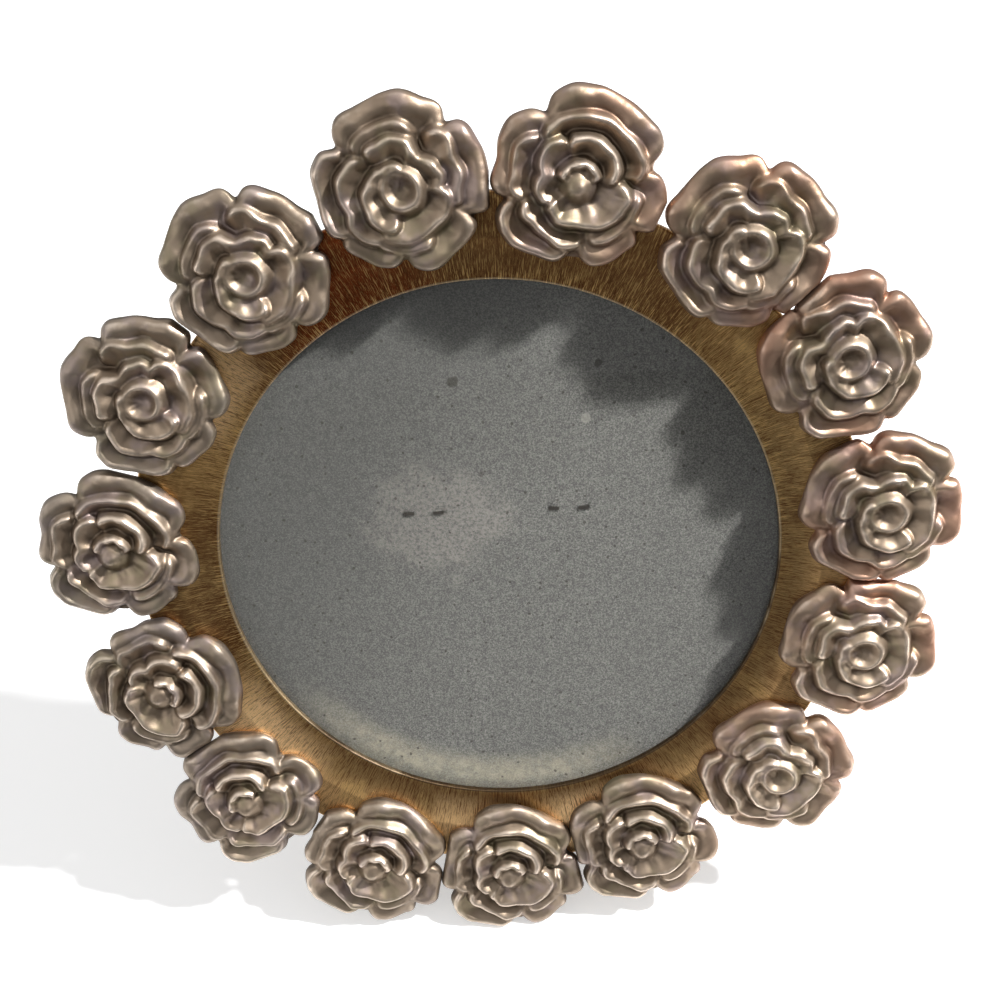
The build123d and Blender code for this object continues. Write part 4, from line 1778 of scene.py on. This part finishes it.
@dataclass(frozen=True)
class Studio:
    """The camera at the photograph's place, a pale table and soft light from the upper right.

    The camera's place, in mm, and its directions are in the ring's plane. The surround is
    dark at the horizon and pale above for metal and glass, and white for the camera.
    """

    camera_place: tuple = (8.485, 85.768, 186.661)
    camera_right: tuple = (0.9986, -0.0494, -0.0211)
    camera_up: tuple = (0.0377, 0.9247, -0.3789)
    focal_px: float = 1290.2
    photo_px: float = 1000.0
    sensor: float = 36.0
    key: Lamp = Lamp("key", (0.66, 0.68, 0.3), 900.0, 50.0, 1.66)
    fill: Lamp = Lamp("fill", (-0.82, -0.08, 0.57), 700.0, 600.0, 0.27)
    soft_strength: float = 0.47
    horizon: float = 0.2
    zenith: float = 0.96
    table_top: Panel = Panel("table_top", 3.0, 0.0, 0.92, 0.4)
    card: Panel = Panel("reflection_card", -0.047, 0.001, 0.1, 0.0)

    def camera(self) -> None:
        """Places the camera."""
        data = bpy.data.cameras.new("camera")
        data.sensor_width = self.sensor
        data.lens = self.focal_px * self.sensor / self.photo_px
        data.clip_start = 0.01
        camera = place_object("camera", data)
        right = PLANE.direction(*self.camera_right)
        back = right.cross(PLANE.direction(*self.camera_up)).normalized()
        turn = Matrix((right, back.cross(right), back)).transposed().to_4x4()
        camera.matrix_world = Matrix.Translation(PLANE.point(*self.camera_place)) @ turn
        bpy.context.scene.camera = camera

    def world(self) -> None:
        """A surround for what the camera, metal and glass see, and a plain soft light."""
        world = bpy.data.worlds.new("studio")
        world.use_nodes = True
        bpy.context.scene.world = world
        sheet = Sheet(world.node_tree)
        path = sheet.add("ShaderNodeLightPath").outputs
        rise = sheet.split(sheet.add("ShaderNodeTexCoord").outputs["Generated"])[2]
        sky = sheet.spread(rise, 0.02, 0.95, self.horizon, self.zenith)
        first = sheet.maths("LESS_THAN", path["Diffuse Depth"], 0.5)
        mirrored = sheet.most(path["Is Glossy Ray"], path["Is Transmission Ray"])
        mirrored = sheet.times(mirrored, first)
        soft = sheet.times(sheet.minus(1.0, mirrored), self.soft_strength)
        shown = sheet.plus(sheet.times(mirrored, sky), soft)
        strength = sheet.most(shown, path["Is Camera Ray"])
        surround = sheet.add("ShaderNodeBackground", {0: (1, 1, 1, 1), 1: strength})
        sheet.add("ShaderNodeOutputWorld", {0: surround.outputs[0]})

    def build(self) -> None:
        """Sets the camera, the lamps, the surround, the table and the card on it."""
        bpy.context.scene.view_settings.view_transform = "Standard"
        self.camera()
        self.key.build()
        self.fill.build()
        self.world()
        self.table_top.build()
        card = self.card.build()
        # The card is seen only in reflections: a dark sheet that darkens what metal and glass
        # mirror in front of the frame.
        card.visible_camera = card.visible_diffuse = card.visible_shadow = False


def dress(node: str, material: Material) -> None:
    """Gives a CAD node its material.

    Args:
        node: The node, which keeps its shape.
        material: The material.
    """
    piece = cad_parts[node]
    piece.data.materials.clear()
    piece.data.materials.append(material)
    log.info("%s keeps its CAD shape, finished as %s", node, material.name)


def finishes(effects: Effects) -> dict[str, Material]:
    """Makes the materials of the CAD nodes that keep their shapes.

    Args:
        effects: The shared shader groups.

    Returns:
        Each node's material.
    """
    rim_tones = {"brown": colour(120, 92, 52), "olive": colour(150, 122, 74)}
    rim = BrushedGold("rim_brass", scratch_depth=0.00001, **rim_tones).make(effects)
    glass = PictureGlass("picture_glass").make(effects)
    board = Chipboard("chipboard").make(effects)
    leg = Chipboard("leg_chipboard", backing=False).make(effects)
    velvet = Velvet("black_velvet").make(effects)
    zinc = PlatedMetal("zinc_plate", colour(158, 157, 153), colour(112, 111, 108)).make(effects)
    wire = PlatedMetal("staple_wire", colour(92, 88, 82), colour(50, 47, 43), 0.42).make(effects)
    brass = PlatedMetal("brass_plate", colour(214, 180, 112), colour(160, 130, 76)).make(effects)
    clips = {f"turn_clip_{number}": brass for number in CLIPS}
    screws = {f"clip_screw_{number}": zinc for number in CLIPS}
    return {
        "pocket_rim": rim, "glass": glass, "backing_board": board, "leg_board": leg,
        "back_velvet": velvet, "leg_velvet": velvet, "hinge_board_leaf": zinc,
        "hinge_leg_leaf": zinc, "hinge_pin": zinc, "staple_left": wire, "staple_right": wire,
        "leg_rivets": brass, **clips, **screws,
    }


def main() -> None:
    """Builds the looks round the frame."""
    logging.basicConfig(level=logging.INFO, format="%(message)s")
    effects = Effects()
    TurnedRing(BrushedGold("brushed_gold").make(effects)).build()
    for node, material in finishes(effects).items():
        dress(node, material)
    wreath = RoseWreath(RoseMetal("rose_metal").make(effects))
    wreath.build()
    pegs = PlatedMetal("peg_metal", colour(168, 156, 140), colour(118, 107, 94)).make(effects)
    PegHeads(pegs, wreath.headings()).build()
    Studio().build()


if __name__ == "__main__":
    main()
